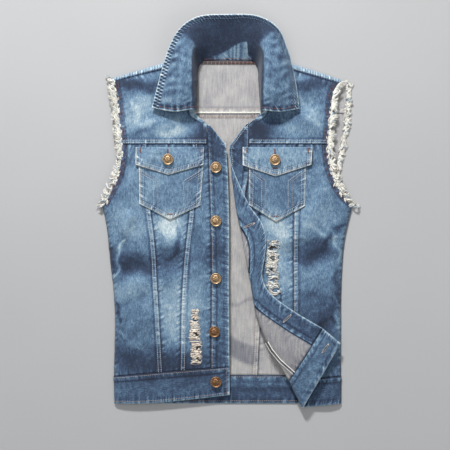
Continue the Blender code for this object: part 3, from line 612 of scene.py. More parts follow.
class Cloth:
    """One cut piece: a grid of the middle of its cloth with a skin on each side.

    edges names the finish of each border, and looks those of its upper side, lower side and rim.
    """

    def __init__(self, name, lie, size, thick, looks, edges, seed=0, base=0.46, flat=False, cell=CELL,
                 with_fades_and_shade=True, shade=None):
        self.name, self.thick, self.looks, self.flat = name, thick, looks, flat
        columns, rows = max(int(size[0] / cell), 4), max(int(size[1] / cell), 4)
        self.u, self.v = np.linspace(0, 1, columns + 1), np.linspace(0, 1, rows + 1)
        u, v = np.meshgrid(self.u, self.v)
        place = lie(u, v)
        step = 2e-3
        across = lie(u + step, v) - lie(u - step, v)
        along = lie(u, v + step) - lie(u, v - step)
        self.normal = unit(np.cross(across, along))
        x, y = place[..., 0], place[..., 1]
        zero_row, zero_column = np.zeros((1, columns + 1)), np.zeros((rows + 1, 1))
        self.s = np.hstack([zero_column, np.cumsum(np.linalg.norm(np.diff(place, axis=1), axis=-1), axis=1)])
        self.t = np.vstack([zero_row, np.cumsum(np.linalg.norm(np.diff(place, axis=0), axis=-1), axis=0)])
        away = {"left": self.s, "right": self.s[:, -1:] - self.s,
                "bottom": self.t, "top": self.t[-1:] - self.t}
        run = {"left": self.t, "right": self.t, "bottom": self.s, "top": self.s}
        relief = crease_field(RUMPLES, x, y) * (not flat)
        # The tone follows the creases and rumples: painted light on their tops and painted shade in their
        # hollows.
        tone = base + 0.05 * crease_field(CREASES, x, y) + 0.13 * relief
        if with_fades_and_shade:
            tone = tone + wear_and_shade_at(x, y)
        if shade:
            tone = tone + shade(u, v, x, y)
        for k, (edge, finish) in enumerate(edges.items()):
            s, d = run[edge], away[edge]
            wave = puckers(s, d, seed + 1.3 * k)
            rung = np.clip(1.6 * np.sin(s * 2 * math.pi / 4.7 + 1.1 * np.sin(s / 17 + seed)), -1, 1)
            ladder = rung * bell(d - 5.2, 3.4) * (0.75 + 0.35 * np.sin(s / 23 + seed))
            raised, change = FINISHES[finish](d, s, y, wave, ladder)
            relief = relief + 0.34 * wave * bell(d - 3, 6.0) + raised
            tone = tone + 0.22 * wave * bell(d - 3.5, 5.5) + change
        self.relief, self.tone, self.place = relief, tone, place

    def skin(self, face):
        """The grid of one side's points: face is 1 for the upper side and -1 for the lower."""
        raised = self.relief if face > 0 or not self.flat else 0 * self.relief
        return self.place + self.normal * (raised + face * self.thick / 2)[..., None]

    def sample(self, u, v):
        """Points just over the upper skin, with their normals."""
        points, columns, rows = self.skin(1) + self.normal * SEWN_LIFT, len(self.u) - 1, len(self.v) - 1
        at_u, at_v = np.clip(u, 0, 1) * columns, np.clip(v, 0, 1) * rows
        i, j = np.minimum(at_u.astype(int), columns - 1), np.minimum(at_v.astype(int), rows - 1)
        a, b = (at_u - i)[..., None], (at_v - j)[..., None]

        def between(grid):
            return mix(mix(grid[j, i], grid[j, i + 1], a), mix(grid[j + 1, i], grid[j + 1, i + 1], a), b)

        return between(points), unit(between(self.normal))

    def beside(self, edge, distance, low, high):
        """A line of points that follows one edge at a distance."""
        if edge in ("left", "right"):
            v = np.linspace(low, high, 160)
            rows = [np.interp(distance, self.s[j], self.u) if edge == "left" else
                    np.interp(self.s[j, -1] - distance, self.s[j], self.u) for j in range(len(self.v))]
            return self.sample(np.interp(v, self.v, rows), v)
        u = np.linspace(low, high, 160)
        columns = [np.interp(distance, self.t[:, i], self.v) if edge == "bottom" else
                   np.interp(self.t[-1, i] - distance, self.t[:, i], self.v) for i in range(len(self.u))]
        return self.sample(u, np.interp(u, self.u, columns))

    def over(self, line, lift=SEWN_LIFT):
        """A line given from above, laid on the uppermost skin, with its normals."""
        points = np.concatenate([self.skin(1).reshape(-1, 3), self.skin(-1).reshape(-1, 3)])
        normals = np.concatenate([self.normal.reshape(-1, 3), -self.normal.reshape(-1, 3)])
        facing = normals[:, 2] > 0.15
        points, normals = points[facing], normals[facing]
        laid, up = [], []
        for x, y in np.asarray(line, float):
            off = np.hypot(points[:, 0] - x, points[:, 1] - y)
            near = off < max(3.5, off.min() + 0.5)
            near &= points[:, 2] > points[near, 2].max() - 2.0
            weight = 1 / (off[near] ** 2 + 0.2)
            weight /= weight.sum()
            normal = unit(weight @ normals[near])
            laid.append(np.array([x, y, weight @ points[near, 2]]) + normal * lift)
            up.append(normal)
        return np.array(laid), np.array(up)

    def build(self, nodes, holes=()):
        rows, columns = self.place.shape[:2]
        upper, lower = self.skin(1), self.skin(-1)
        if self.flat:
            lower[..., 2] = np.maximum(lower[..., 2], 0.02)
        count = rows * columns
        grid = np.arange(count).reshape(rows, columns)
        a, b, c, d = grid[:-1, :-1], grid[:-1, 1:], grid[1:, 1:], grid[1:, :-1]
        quads = np.stack([a, b, c, d], -1).reshape(-1, 4)
        keep = np.ones(len(quads), bool)
        centre = upper.reshape(-1, 3)[quads].mean(1)
        for x, y, half_x, half_y in holes:
            turn = np.arctan2((centre[:, 1] - y) / half_y, (centre[:, 0] - x) / half_x)
            ragged = 1 + 0.22 * np.sin(3 * turn + x) + 0.12 * np.sin(7 * turn + y)
            keep &= np.hypot((centre[:, 0] - x) / half_x, (centre[:, 1] - y) / half_y) > ragged
        quads = quads[keep]
        sides = np.concatenate([quads[:, [k, (k + 1) % 4]] for k in range(4)])
        back = {(int(q), int(p)) for p, q in sides}
        border = np.array([(p, q) for p, q in sides if (int(p), int(q)) not in back])
        middle = (upper + lower).reshape(-1, 3) / 2
        outward = np.zeros((count, 3))
        normals = self.normal.reshape(-1, 3)
        way = unit(np.cross(middle[border[:, 1]] - middle[border[:, 0]], normals[border[:, 0]]))
        np.add.at(outward, border[:, 0], way)
        np.add.at(outward, border[:, 1], way)
        rim_at = np.unique(border)
        rim_index = np.full(count, -1)
        rim_index[rim_at] = 2 * count + np.arange(len(rim_at))
        rim = middle[rim_at] + unit(outward[rim_at]) * 0.28
        points = np.concatenate([upper.reshape(-1, 3), lower.reshape(-1, 3), rim])
        p, q = border[:, 0], border[:, 1]
        faces = np.concatenate([
            quads, quads[:, ::-1] + count,
            np.stack([q, p, rim_index[p], rim_index[q]], -1),
            np.stack([rim_index[q], rim_index[p], p + count, q + count], -1),
        ])
        looks = list(dict.fromkeys(self.looks))
        face_look = np.concatenate([np.full(len(quads), looks.index(self.looks[0])),
                                    np.full(len(quads), looks.index(self.looks[1])),
                                    np.full(2 * len(border), looks.index(self.looks[2]))])
        tone = np.concatenate([self.tone.ravel(), self.tone.ravel(), self.tone.ravel()[rim_at] + 0.1])
        used = np.unique(faces)
        renumber = np.zeros(len(points), int)
        renumber[used] = np.arange(len(used))
        name = self.name + "_cloth"
        made = add_mesh(name, points[used], renumber[faces], looks, tone[used], face_look)
        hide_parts(*nodes)
        area = float(np.mean(self.s[:, -1]) * np.mean(self.t[-1])) * MM * MM
        pieces[self.name] = self


def sew(name, lines, look):
    """Stitches along lines of (points, normals): one small tapering bar for each."""
    points, faces = [], []
    for line, normals in lines:
        reach = np.concatenate([[0], np.cumsum(np.linalg.norm(np.diff(line, axis=0), axis=-1))])
        starts = np.arange(0.4, reach[-1] - STITCH_LENGTH, STITCH_PITCH)
        if not len(starts):
            continue
        stations = starts[:, None] + np.array([0, 0.22, 0.78, 1]) * STITCH_LENGTH
        place = np.stack([np.interp(stations, reach, line[:, k]) for k in range(3)], -1)
        up = unit(np.stack([np.interp(stations, reach, normals[:, k]) for k in range(3)], -1))
        ahead = unit(place[:, -1:] - place[:, :1])
        side = np.cross(ahead, up) * STITCH_HALF_WIDTH
        rise = up * STITCH_HALF_WIDTH * 0.7
        sink = np.array([-0.35, 0.1, 0.1, -0.35])[None, :, None]
        place = place + up * sink
        for k in range(len(starts)):
            base = len(points)
            points.append(place[k, 0])
            for j in (1, 2):
                points += [place[k, j] + side[k, j], place[k, j] + rise[k, j],
                           place[k, j] - side[k, j], place[k, j] - rise[k, j]]
            points.append(place[k, 3])
            for m in range(4):
                n = (m + 1) % 4
                faces += [(base, base + 1 + n, base + 1 + m), (base + 9, base + 5 + m, base + 5 + n),
                          (base + 1 + m, base + 1 + n, base + 5 + n, base + 5 + m)]
    add_mesh(name, points, faces, [look])


def strands(name, lines, radius, looks, look_of=None, sides=3, ends=(0.5, 0.3)):
    """Threads along lines of equal count, tapering towards their ends."""
    lines = np.asarray(lines, float)
    count, long = lines.shape[:2]
    ahead = unit(np.gradient(lines, axis=1))
    beside = unit(np.cross(ahead, np.array([0.13, 0.21, 1.0])))
    over = np.cross(beside, ahead)
    turn = np.arange(sides) * 2 * math.pi / sides
    ring = beside[:, :, None] * np.cos(turn)[:, None] + over[:, :, None] * np.sin(turn)[:, None]
    taper = np.interp(np.linspace(0, 1, long), [0, 0.12, 0.7, 1], [ends[0], 1, 0.9, ends[1]])
    size = np.broadcast_to(np.asarray(radius, float).reshape(-1, 1), (count, 1)) * taper
    points = (lines[:, :, None] + ring * size[:, :, None, None]).reshape(-1, 3)
    corner, after = np.arange(sides), (np.arange(sides) + 1) % sides
    base = (np.arange(count) * long * sides)[:, None, None] + (np.arange(long - 1) * sides)[:, None]
    walls = np.stack([base + corner, base + after, base + after + sides, base + corner + sides], -1)
    start = (np.arange(count) * long * sides)[:, None]
    caps = np.concatenate([start + corner[::-1], start + (long - 1) * sides + corner])
    faces = walls.reshape(-1, 4).tolist() + caps.tolist()
    face_look = None
    if look_of is not None:
        face_look = np.concatenate([np.repeat(look_of, (long - 1) * sides), look_of, look_of])
    return add_mesh(name, points, faces, looks, face_look=face_look)


# Pieces

def region(left, right, bottom, top, inset=GAP / 2):
    def plan(u, v):
        x, y = mix(left(0.0), right(0.0), u), mix(bottom(0.0), top(0.0), v)
        for _ in range(12):
            y = mix(bottom(x) + inset, top(x) - inset, v)
            x = mix(left(y) + inset, right(y) - inset, u)
        return x, y
    return plan


def level(y):
    return lambda x: y + 0 * x


def mirrored(side, table):
    return lambda y: SIGN[side] * table(y)


def yoke_inner(y):
    return np.maximum(LEFT_PLACKET_LINE + GAP, neckline(y))


DENIM = ("denim", "inside", "denim")
FOLDED_DENIM = ("denim",) * 3
BAND_DENIM = ("denim band",) * 3


def front(name, side, left, right, bottom, top, size, edges, height=fold_height, thick=CLOTH, looks=DENIM,
          base=0.42, holes=(), nodes=()):
    plan = region(left, right, bottom, top)
    lift = (thick - CLOTH) / 2

    def lie(u, v):
        x, y = plan(u, v)
        return np.stack([x, y, height(side, x, y) + lift], -1)

    piece = Cloth(name, lie, size, thick, looks, edges, seed=len(pieces) * 0.77, base=base)
    piece.build(nodes or [name], holes)


def panel_edge(side):
    """A side panel's outer edge: the side seam up to the arm, and the armhole above it."""
    return lambda y: SIGN[side] * outline_out(side, y)


def make_right_front():
    side = "right"
    edge, outer, arm = (mirrored(side, table) for table in (side_edge[side], outer_seam[side], armhole[side]))
    inner, strip = mirrored(side, inner_seam), mirrored(side, placket_line)
    front("right_yoke", side, arm, mirrored(side, yoke_inner), level(YOKE_SEAM),
          lambda x: shoulder_seam[side](-x), (165, 145),
          {"bottom": "seam", "top": "under", "left": "cut", "right": "faced"})
    front("right_side", side, panel_edge(side), outer, band_seam, level(YOKE_SEAM), (100, 439),
          {"right": "seam", "bottom": "under", "top": "under", "left": "armhole"},
          nodes=("right_side", "right_underarm"))
    front("right_middle", side, outer, inner, band_seam, level(YOKE_SEAM), (62, 430),
          {"left": "under", "right": "under", "top": "under", "bottom": "under"})
    front("right_centre", side, inner, strip, band_seam, level(YOKE_SEAM), (50, 425),
          {"left": "seam", "right": "under", "top": "under", "bottom": "under"}, holes=RIPS["right_centre"])

    def placket_top(x):
        return np.where(x > -46, mix(165, 122, ease(-45, 5, x)), 165)

    front("right_placket", side, strip, free_edge, band_seam, placket_top, (48, 440),
          {"left": "seam", "right": "fold", "bottom": "under", "top": "fold"}, height=front_height,
          thick=DOUBLE, base=0.36)
    front("right_waistband", side, edge, free_edge, band_hem, band_seam, (232, 52),
          {"bottom": "fold", "top": "seam", "right": "fold"}, thick=DOUBLE, looks=BAND_DENIM, base=0.29)


def make_left_front():
    side = "left"
    outer, arm = mirrored(side, outer_seam[side]), mirrored(side, armhole[side])
    bottom = follow([(112, -318), (150, -320), (190, -318), (216, -317)])
    front("left_yoke", side, mirrored(side, yoke_inner), arm, level(YOKE_SEAM), shoulder_seam[side], (160, 145),
          {"bottom": "seam", "top": "under", "right": "cut", "left": "faced"})
    front("left_side", side, outer, panel_edge(side), bottom, level(YOKE_SEAM), (100, 441),
          {"left": "seam", "bottom": "under", "top": "under", "right": "armhole"},
          nodes=("left_side", "left_underarm"))
    front("left_middle", side, centre_edge, outer, bottom, level(YOKE_SEAM), (45, 440),
          {"right": "under", "left": "under", "top": "under"},
          height=lambda side, x, y: front_height(side, x, y) - sink_near_roll(x, y), holes=RIPS["left_middle"])

    def centre(u, v):
        row = 1.0 - v * CENTRE_ROWS / STRIP_ROWS
        share, width = placket_share(row), turned_width(row)
        near, far = share + 2 * GAP + 2.2 * bell(width - share, 7.0), inner_limit(row) - 2 * GAP
        fold = np.clip(width, mix(near, far, 0.12), mix(near, far, 0.88))
        half = np.abs(2 * u - 1) ** 1.6
        return turned(np.where(u < 0.5, fold - (fold - near) * half, fold + (far - fold) * half), row)

    def seam_shade(u, v, x, y):
        return 0.30 * ease(-8, 2, (x - 93) * 0.55 - (y + 240) * 0.83) * (x > 76) * (u > 0.5)

    edges = {"left": "under", "right": "under", "bottom": "under", "top": "under"}
    piece = Cloth("left_centre", centre, (150, 450), CLOTH, DENIM, edges, seed=3.1, base=0.36, shade=seam_shade)
    piece.build(["left_centre"])

    def strip(u, v):
        row = 1.0 - v
        wide = placket_share(row) - GAP
        fold = np.clip(turned_width(row), wide * 0.15, wide * 0.85)
        half = np.abs(2 * u - 1) ** 1.6
        return turned(np.where(u < 0.5, fold * (1 - half), mix(fold, wide, half)), row)

    # The placket is darker at the top, painted shadow of the collar, and darker towards the waistband.
    piece = Cloth("left_placket", strip, (90, 520), DOUBLE, FOLDED_DENIM,
                  {"left": "fold", "right": "seam", "bottom": "under"}, seed=4.4, base=0.34, with_fades_and_shade=False,
                  shade=lambda u, v, x, y: -0.16 * ease(60, 110, y) - 0.08 * ease(-150, -220, y))
    piece.build(["left_placket"])
    roll_seam, roll_hem = np.array(ROLL[-1]), np.array(ROLL_TIP)
    edge_seam, edge_hem = np.array(EDGE[-1]), np.array(EDGE_CORNER)

    def band(u, v):
        away = unit(roll_hem - roll_seam) * GAP
        start = mix(roll_hem, roll_seam + away, v[..., None])
        corner = mix(edge_hem, edge_seam + away, v[..., None])
        side_end = np.stack([215.0 + 0 * v, mix(HEM, BAND_SEAM_SIDE - GAP, v)], -1)
        width, rest = np.linalg.norm(corner - start, axis=-1), np.linalg.norm(side_end - start, axis=-1)
        half = np.abs(2 * u - 1) ** 1.5
        c = np.where(u < 0.5, width * (1 - half), width + rest * half)

        def sink(x, y):
            return 4.0 * (1 - ease(0, 60, x - start[..., 0]))

        place = lap(width, c, start, unit(corner - start), unit(side_end - start), sink, 7.5)
        return place + np.array([0, 0, (DOUBLE - CLOTH) / 2])

    piece = Cloth("left_waistband", band, (230, 56), DOUBLE, BAND_DENIM,
                  {"left": "fold", "bottom": "fold", "top": "seam"}, seed=5.5, base=0.38, with_fades_and_shade=False,
                  shade=lambda u, v, x, y: -0.15 * ease(0.52, 0.60, u))
    piece.build(["left_waistband"])


def make_shoulders():
    for side in ("right", "left"):
        outer_out = armhole[side](248)

        def lie(u, v, side=side, outer_out=outer_out):
            out = mix(66.5, outer_out - 0.5, u if side == "left" else 1 - u)
            top, seam = shoulder_fold[side](out), shoulder_seam[side](out)
            y = mix(seam + GAP / 2, top, dome(v))
            height = front_height(side, SIGN[side] * out, seam)
            z = REST + CLOTH * 0.05 + (height - REST) * dome(np.minimum((top - y) / (top - seam), 1.0))
            return np.stack([SIGN[side] * out, y, z], -1)

        name = f"{side}_shoulder"
        piece = Cloth(name, lie, (160, 26), CLOTH, DENIM, {"bottom": "ribbed"}, seed=7.7 + SIGN[side],
                      base=0.62, with_fades_and_shade=False)
        piece.build([name])


def inner_shadow_bands(u, v, x, y):
    """The soft grey bands of painted shadow across the inside of the back: a broad one and a thin one above it.
    """
    low, high = -256 - 0.32 * x - 7 * np.sin(x / 22), -176 - 6 * np.sin(x / 9)
    return -0.34 * (ease(23, 15, np.abs(y - low)) + 0.55 * ease(6, 1, np.abs(y - high))) + 0.06


def back_edge(side):
    """The back's outer edge: its side up to the arm, and its armhole above it."""
    return lambda y: SIGN[side] * np.where(y < UNDERARM, side_edge[side](y), back_armhole[side](y))


def make_back():
    seam = follow(BACK_SEAM)
    looks = ("inside", "denim", "denim")

    def plate(name, left, right, bottom, top, size, edges, looks=looks, base=0.5, shade=None):
        plan = region(left, right, bottom, top)

        def lie(u, v):
            x, y = plan(u, v)
            return np.stack([x, y, CLOTH / 2 + 0 * x], -1)

        piece = Cloth(name, lie, size, CLOTH, looks, edges, seed=len(pieces) * 0.9, base=base, flat=True,
                      cell=BACK_CELL, with_fades_and_shade=False, shade=shade)
        x, y = piece.place[..., 0], piece.place[..., 1]
        piece.relief = piece.relief + np.maximum(crease_field(BACK_CREASES, x, y), 0)
        piece.build([name])

    for side in ("right", "left"):
        edge, inner = back_edge(side), mirrored(side, seam)
        left, right = (edge, inner) if side == "right" else (inner, edge)
        seams = {"right" if side == "right" else "left": "under"}
        plate(f"{side}_back_side", left, right, level(BACK_BAND_SEAM), level(UNDERARM), (165, 320), seams)
        plate(f"{side}_back_blade", left, right, level(UNDERARM), level(BACK_YOKE_SEAM), (150, 178),
              {**seams, "top": "under"})
    plate("back_centre", mirrored("right", seam), mirrored("left", seam), level(BACK_BAND_SEAM),
          level(BACK_YOKE_SEAM), (150, 500), {"left": "seam", "right": "seam", "top": "under"},
          shade=inner_shadow_bands)

    def yoke_top(x):
        out = np.abs(x)
        past_neck = np.maximum(out, 66)
        fold = np.where(x < 0, shoulder_fold["right"](past_neck), shoulder_fold["left"](past_neck))
        return mix(283 - 2.0 * ease(50, 0, out), fold - 2.5, ease(56, 70, out))

    def band_shade(u, v, x, y):
        return 0.15 * ease(0.55, 0.66, v) * (1 + 0.4 * np.sin(x / 5.2)) - 0.06 * bell(v - 0.5, 0.08)

    right, left = back_edge("right"), back_edge("left")
    plate("back_yoke", right, left, level(BACK_YOKE_SEAM), yoke_top, (450, 100), {"bottom": "seam"})
    plate("back_waistband", right, left, level(HEM), level(BACK_BAND_SEAM), (431, 54),
          {"bottom": "fold", "top": "seam"}, looks=BAND_DENIM, base=0.20, shade=band_shade)


def make_collar():
    lines = [thread([section[k] for section in COLLAR]) for k in range(4)]

    def lie(u, v):
        return thread([line(u) for line in lines])(v)

    def shade(u, v, x, y):
        # Painted shade darkens the inner face of the standing collar, and a band of painted light, with gathers
        # in it, lies along the foot of that face.
        inner = np.maximum(ease(0.28, 0.31, u) * ease(0.70, 0.67, u), 1 - ease(0.30, 0.36, v))
        rise = 0.08 + 0.30 * ease(0.42, 0.60, u) * ease(0.625, 0.60, u)
        lit_band = ease(0.38, 0.46, u) * ease(0.66, 0.63, u) * (1 - ease(rise, rise + 0.05, v))
        blotches = (np.sin(x / 7.5 + 2 * np.sin(y / 9)) * np.sin(y / 8.3 + 2 * np.sin(x / 11))
                    + 0.6 * np.sin(x / 3.7 + y / 5.1) * np.sin(y / 4.1 - x / 6.3))
        from_end = np.minimum(u, 1 - u) * COLLAR_LENGTH
        ends = bell(from_end - 8, 7) * (1 + np.sin(v * 60))
        pulled = np.sin(u * 150 + v * 9 + 1.2 * np.sin(u * 61)) * bell(COLLAR_DEPTH * (1 - v) - 20, 9)
        folded = bell(from_end - 20, 12) * bell(v - 0.42, 0.10) * np.sin(u * 260 + v * 22)
        lit_band_with_gathers = lit_band * (1 + 0.35 * np.sin(u * 190 + 3 * np.sin(u * 47)))
        outer = (0.14 * pulled + 0.10 * blotches - 0.16 * ends) * (1 - inner)
        return 0.42 * lit_band_with_gathers + 0.2 * folded - 0.34 * inner * ease(1.0, 0.94, v) + outer

    piece = Cloth("collar", lie, (COLLAR_LENGTH, COLLAR_DEPTH), DOUBLE, FOLDED_DENIM,
                  {"top": "roped", "left": "fold", "right": "fold", "bottom": "under"}, seed=9.2, base=0.41,
                  cell=COLLAR_CELL, with_fades_and_shade=False, shade=shade)
    piece.build(["collar"])


def make_pockets():
    for side in ("right", "left"):
        for kind, corners, depth, lift in (("pocket", POCKET[side], POCKET_DEPTH, POCKET_LIFT),
                                           ("flap", FLAP[side], FLAP_DEPTH, FLAP_LIFT)):
            top_in, top_out, low_out, tip, low_in = [np.array(c, float) for c in corners]
            first, second = (top_out, top_in) if side == "right" else (top_in, top_out)
            low_first, low_second = (low_out, low_in) if side == "right" else (low_in, low_out)

            def lie(u, v, first=first, second=second, low_first=low_first, low_second=low_second, tip=tip,
                    depth=depth, lift=lift, side=side):
                share = (u * 2)[..., None]
                base = np.where(share < 1, mix(low_first, tip, share), mix(tip, low_second, share - 1))
                place = mix(base, mix(first, second, u[..., None]), v[..., None])
                rise = lift + depth * np.sin(math.pi * u) * np.sin(math.pi * np.minimum(v * 0.9 + 0.1, 1.0))
                x, y = place[..., 0], place[..., 1]
                return np.stack([x, y, front_height(side, x, y) + rise], -1)

            name = f"{side}_{kind}"
            edges = {"left": "fold", "right": "fold", "bottom": "fold"}
            piece = Cloth(name, lie, (125, 105 if kind == "pocket" else 48), CLOTH, DENIM, edges,
                          seed=6 + len(pieces) * 0.4, base=POCKET_TONE[name], cell=POCKET_CELL)
            piece.build([name])


SEAMS = [            # (piece, edge, distances of its rows of stitches, first and last share, thread)
    ("right_yoke", "bottom", (2.4, 7.4), 0.0, 1.0, "pale"),
    ("right_yoke", "left", (4.5, 9.0), 0.02, 0.98, "rust"),
    ("left_yoke", "bottom", (2.4, 7.4), 0.0, 1.0, "pale"),
    ("left_yoke", "right", (4.5, 9.0), 0.02, 0.98, "rust"),
    ("right_side", "left", (4.5, 9.0), 0.74, 1.0, "rust"),
    ("left_side", "right", (4.5, 9.0), 0.745, 1.0, "rust"),
    ("right_side", "right", (2.2, 7.8), 0.0, 1.0, "pale"),
    ("right_centre", "left", (2.2, 7.8), 0.0, 1.0, "pale"),
    ("left_side", "left", (2.2, 7.8), 0.0, 1.0, "tan"),
    ("right_placket", "left", (2.8,), 0.0, 0.905, "tan"),
    ("right_placket", "right", (5.0,), 0.0, 1.0, "blue"),
    ("right_waistband", "top", (2.8,), 0.0, 1.0, "tan"),
    ("right_waistband", "bottom", (4.6,), 0.0, 1.0, "tan"),
    ("right_waistband", "right", (4.6,), 0.1, 1.0, "tan"),
    ("left_placket", "left", (4.6,), 0.0, 1.0, "pale"),
    ("left_placket", "right", (2.8,), 0.0, 1.0, "tan"),
    ("collar", "top", (7.6,), 0.0, 1.0, "blue"),
    ("collar", "left", (5.4,), 0.05, 0.92, "rust"),
    ("collar", "right", (5.4,), 0.05, 0.92, "rust"),
    ("collar", "bottom", (3.4,), 0.34, 0.66, "rust"),
    ("right_shoulder", "bottom", (3.6, 10.6), 0.0, 1.0, "pale"),
    ("left_shoulder", "bottom", (3.6, 10.6), 0.0, 1.0, "pale"),
    ("back_yoke", "bottom", (2.4, 9.0), 0.0, 1.0, "tan"),
    ("back_centre", "left", (2.4, 8.0), 0.0, 1.0, "cream"),
    ("back_centre", "right", (2.4, 8.0), 0.0, 1.0, "cream"),
    ("back_centre", "right", (5.2, 10.6), 0.0, 1.0, "tan"),
    ("back_waistband", "top", (3.0,), 0.0, 1.0, "tan"),
    ("back_waistband", "bottom", (4.8,), 0.0, 1.0, "tan"),
    ("left_waistband", "top", (3.0,), 0.0, 0.6, "tan"),
    ("left_waistband", "bottom", (4.8,), 0.0, 0.6, "tan"),
]
POCKET_LINES = {     # double stitching from a pocket's top corners inwards and down: x, y
    "right": [[(-168, 74), (-137, 55), (-137, 6)], [(-50, 74), (-80, 55), (-80, 6)]],
    "left": [[(44, 74), (68, 55), (68, 4)], [(144, 74), (118, 55), (118, 4)]],
}
BUTTONHOLES = [      # (piece, x, y, degrees)
    ("left_placket", 40.8, -29.0, 22), ("left_placket", 111.7, -205.6, 44),
    ("left_waistband", 184.3, -262.0, 53),
]
BUTTONHOLE_STITCHES, SLIT_REACH = 46, 9.5
BARTACKS = [         # (piece, x, y, degrees), all in rust thread
    ("right_flap", -166, 113, 90), ("right_flap", -54, 113, 90), ("left_flap", 36, 113, 90),
    ("left_flap", 152, 113, 90), ("right_flap", -114, 111, 90), ("left_flap", 89, 111, 90),
    ("left_flap", 89, 79, 0), ("right_pocket", -110, -8, 0), ("left_pocket", 91, -12, 0),
]


def resampled(line, step=2.0):
    """A line with points at an even step."""
    line = np.asarray(line, float)
    reach = np.concatenate([[0], np.cumsum(np.linalg.norm(np.diff(line, axis=0), axis=-1))])
    at = np.linspace(0, reach[-1], max(int(reach[-1] / step), 2))
    return np.stack([np.interp(at, reach, line[:, k]) for k in range(line.shape[1])], -1)


def make_stitches():
    rows = {}
    for piece, edge, distances, low, high, look in SEAMS:
        for distance in distances:
            rows.setdefault(look, []).append(pieces[piece].beside(edge, distance, low, high))
    for side in ("right", "left"):
        for kind in ("pocket", "flap"):
            piece, inner_row = pieces[f"{side}_{kind}"], "rust" if kind == "flap" else "tan"
            for edge in ("left", "right", "bottom"):
                for distance, look in ((2.6, inner_row), (8.2, "pale")):
                    rows.setdefault(look, []).append(piece.beside(edge, distance, 0.03, 0.97))
        for line in POCKET_LINES[side]:
            for shift, look in ((-3.9, "pale"), (3.9, "tan")):
                moved = resampled([(x + shift, y) for x, y in line])
                rows.setdefault(look, []).append(pieces[f"{side}_pocket"].over(moved))
    for look, lines in rows.items():
        sew(f"{look}_stitches", lines, look)


def bars_along(low, high, step, start, rise, lean):
    """Short slanting threads side by side: start and rise are (y, z), and lean the reach in x."""
    parts = (0, 0.5, 1)
    return [[(x + lean * part, start[0] + rise[0] * part, start[1] + rise[1] * part) for part in parts]
            for x in np.arange(low, high, step)]


def make_neck_tape():
    """The back yoke's seam on the inside, and the neck seam.

    A cream cord is held by dark stitches, with an overlocked row below it. The neck seam is wrapped.
    """
    x = np.arange(-150, 151, 3.0)
    seam = BACK_YOKE_SEAM + 0 * x
    cord = [np.stack([x, seam + up, CLOTH + lift + 0 * x], -1) for up, lift in ((2.6, 1.0), (1.2, 0.8))]
    strands("neck_tape", cord, 0.85, ["cream"], sides=6, ends=(1, 1))
    bars = bars_along(-150, 150, 2.9, (BACK_YOKE_SEAM - 2.6, CLOTH + 1.3), (2.6, 0), 0.5)
    strands("neck_stitches", bars, 0.52, ["navy"], ends=(0.8, 0.8))
    bars = bars_along(-57, 57, 1.5, (277.5, CLOTH + 1.0), (6.0, 0.5), 0.9)
    strands("neck_seam", bars, 0.62, ["navy", "rust", "tan"], look_of=np.arange(len(bars)) * 7 % 5 // 2,
            ends=(0.8, 0.8))
    bars = bars_along(-150, 150, 2.3, (BACK_YOKE_SEAM - 9.0, CLOTH + 0.75), (5.4, 0), 0.8)
    strands("neck_overlock", bars, 0.45, ["rust", "tan"], look_of=np.arange(len(bars)) % 3 // 2,
            ends=(0.8, 0.8))


def make_felled_seam():
    """The felled seam on the inside of the turned front: a rolled edge with a dark line along it."""
    line = resampled([(76, -250), (84, -264), (99, -283), (128, -309)], 3.0)
    way = unit(np.gradient(line, axis=0))
    beside = np.stack([way[:, 1], -way[:, 0]], -1)
    rows = (("rolled", 0.0, 0.95, "cream"), ("dark", 2.2, 0.5, "navy"), ("sewn", 5.4, 0.5, "cream"))
    for name, shift, radius, look in rows:
        laid = pieces["left_centre"].over(line + beside * shift)[0]
        strands(f"felled_seam_{name}", [laid], radius, [look], sides=6, ends=(0.9, 0.9))


def placed(x, y, degrees, line):
    """Points given along and across a direction, moved to x, y."""
    turn = math.radians(degrees)
    ahead, beside = np.array([math.cos(turn), math.sin(turn)]), np.array([-math.sin(turn), math.cos(turn)])
    return [np.array([x, y]) + ahead * along + beside * across for along, across in line]


def make_buttonholes():
    """Threads all round a narrow ring, and a dark slit inside it: a navy strand of painted shade."""
    for k, (piece, x, y, degrees) in enumerate(BUTTONHOLES):
        cloth, bars = pieces[piece], []
        for step in range(BUTTONHOLE_STITCHES):
            around = 2 * math.pi * step / BUTTONHOLE_STITCHES
            near = np.array([SLIT_REACH * math.cos(around), 0.7 * math.sin(around)])
            far = np.array([(SLIT_REACH + 1.7) * math.cos(around), 2.4 * math.sin(around)])
            bars.append(cloth.over(placed(x, y, degrees, (near, (near + far) / 2, far)), 0.55)[0])
        strands(f"buttonhole_{k + 1}", bars, 0.45, ["pale", "tan"], look_of=np.arange(len(bars)) % 2,
                ends=(0.8, 0.8))
        slit = placed(x, y, degrees, [(at, 0.0) for at in np.linspace(-SLIT_REACH, SLIT_REACH, 9)])
        strands(f"buttonhole_slit_shade_{k + 1}", [cloth.over(slit, 0.15)[0]], 0.8, ["navy"], sides=6)


def make_bartacks():
    bars = []
    for piece, x, y, degrees in BARTACKS:
        for at in np.linspace(-4.5, 4.5, 13):
            line = placed(x, y, degrees, [(at, across) for across in (-1.3, 0.0, 1.3)])
            bars.append(pieces[piece].over(line, 0.4)[0])
    strands("rust_bartacks", bars, 0.45, ["rust"], ends=(0.7, 0.7))


RIP_THREADS = [      # (piece, box of its threads, seed, reach of its tufts, thread)
    ("right_centre", (-71, -52, -293, -188), 21, (2.0, 5.0), "warm"),
    ("left_middle", (75, 95, -161, -59), 22, (3.0, 7.0), "cream"),
]
TUFTS, TUFT_THREADS, TORN_ENDS = 26, 9, 80


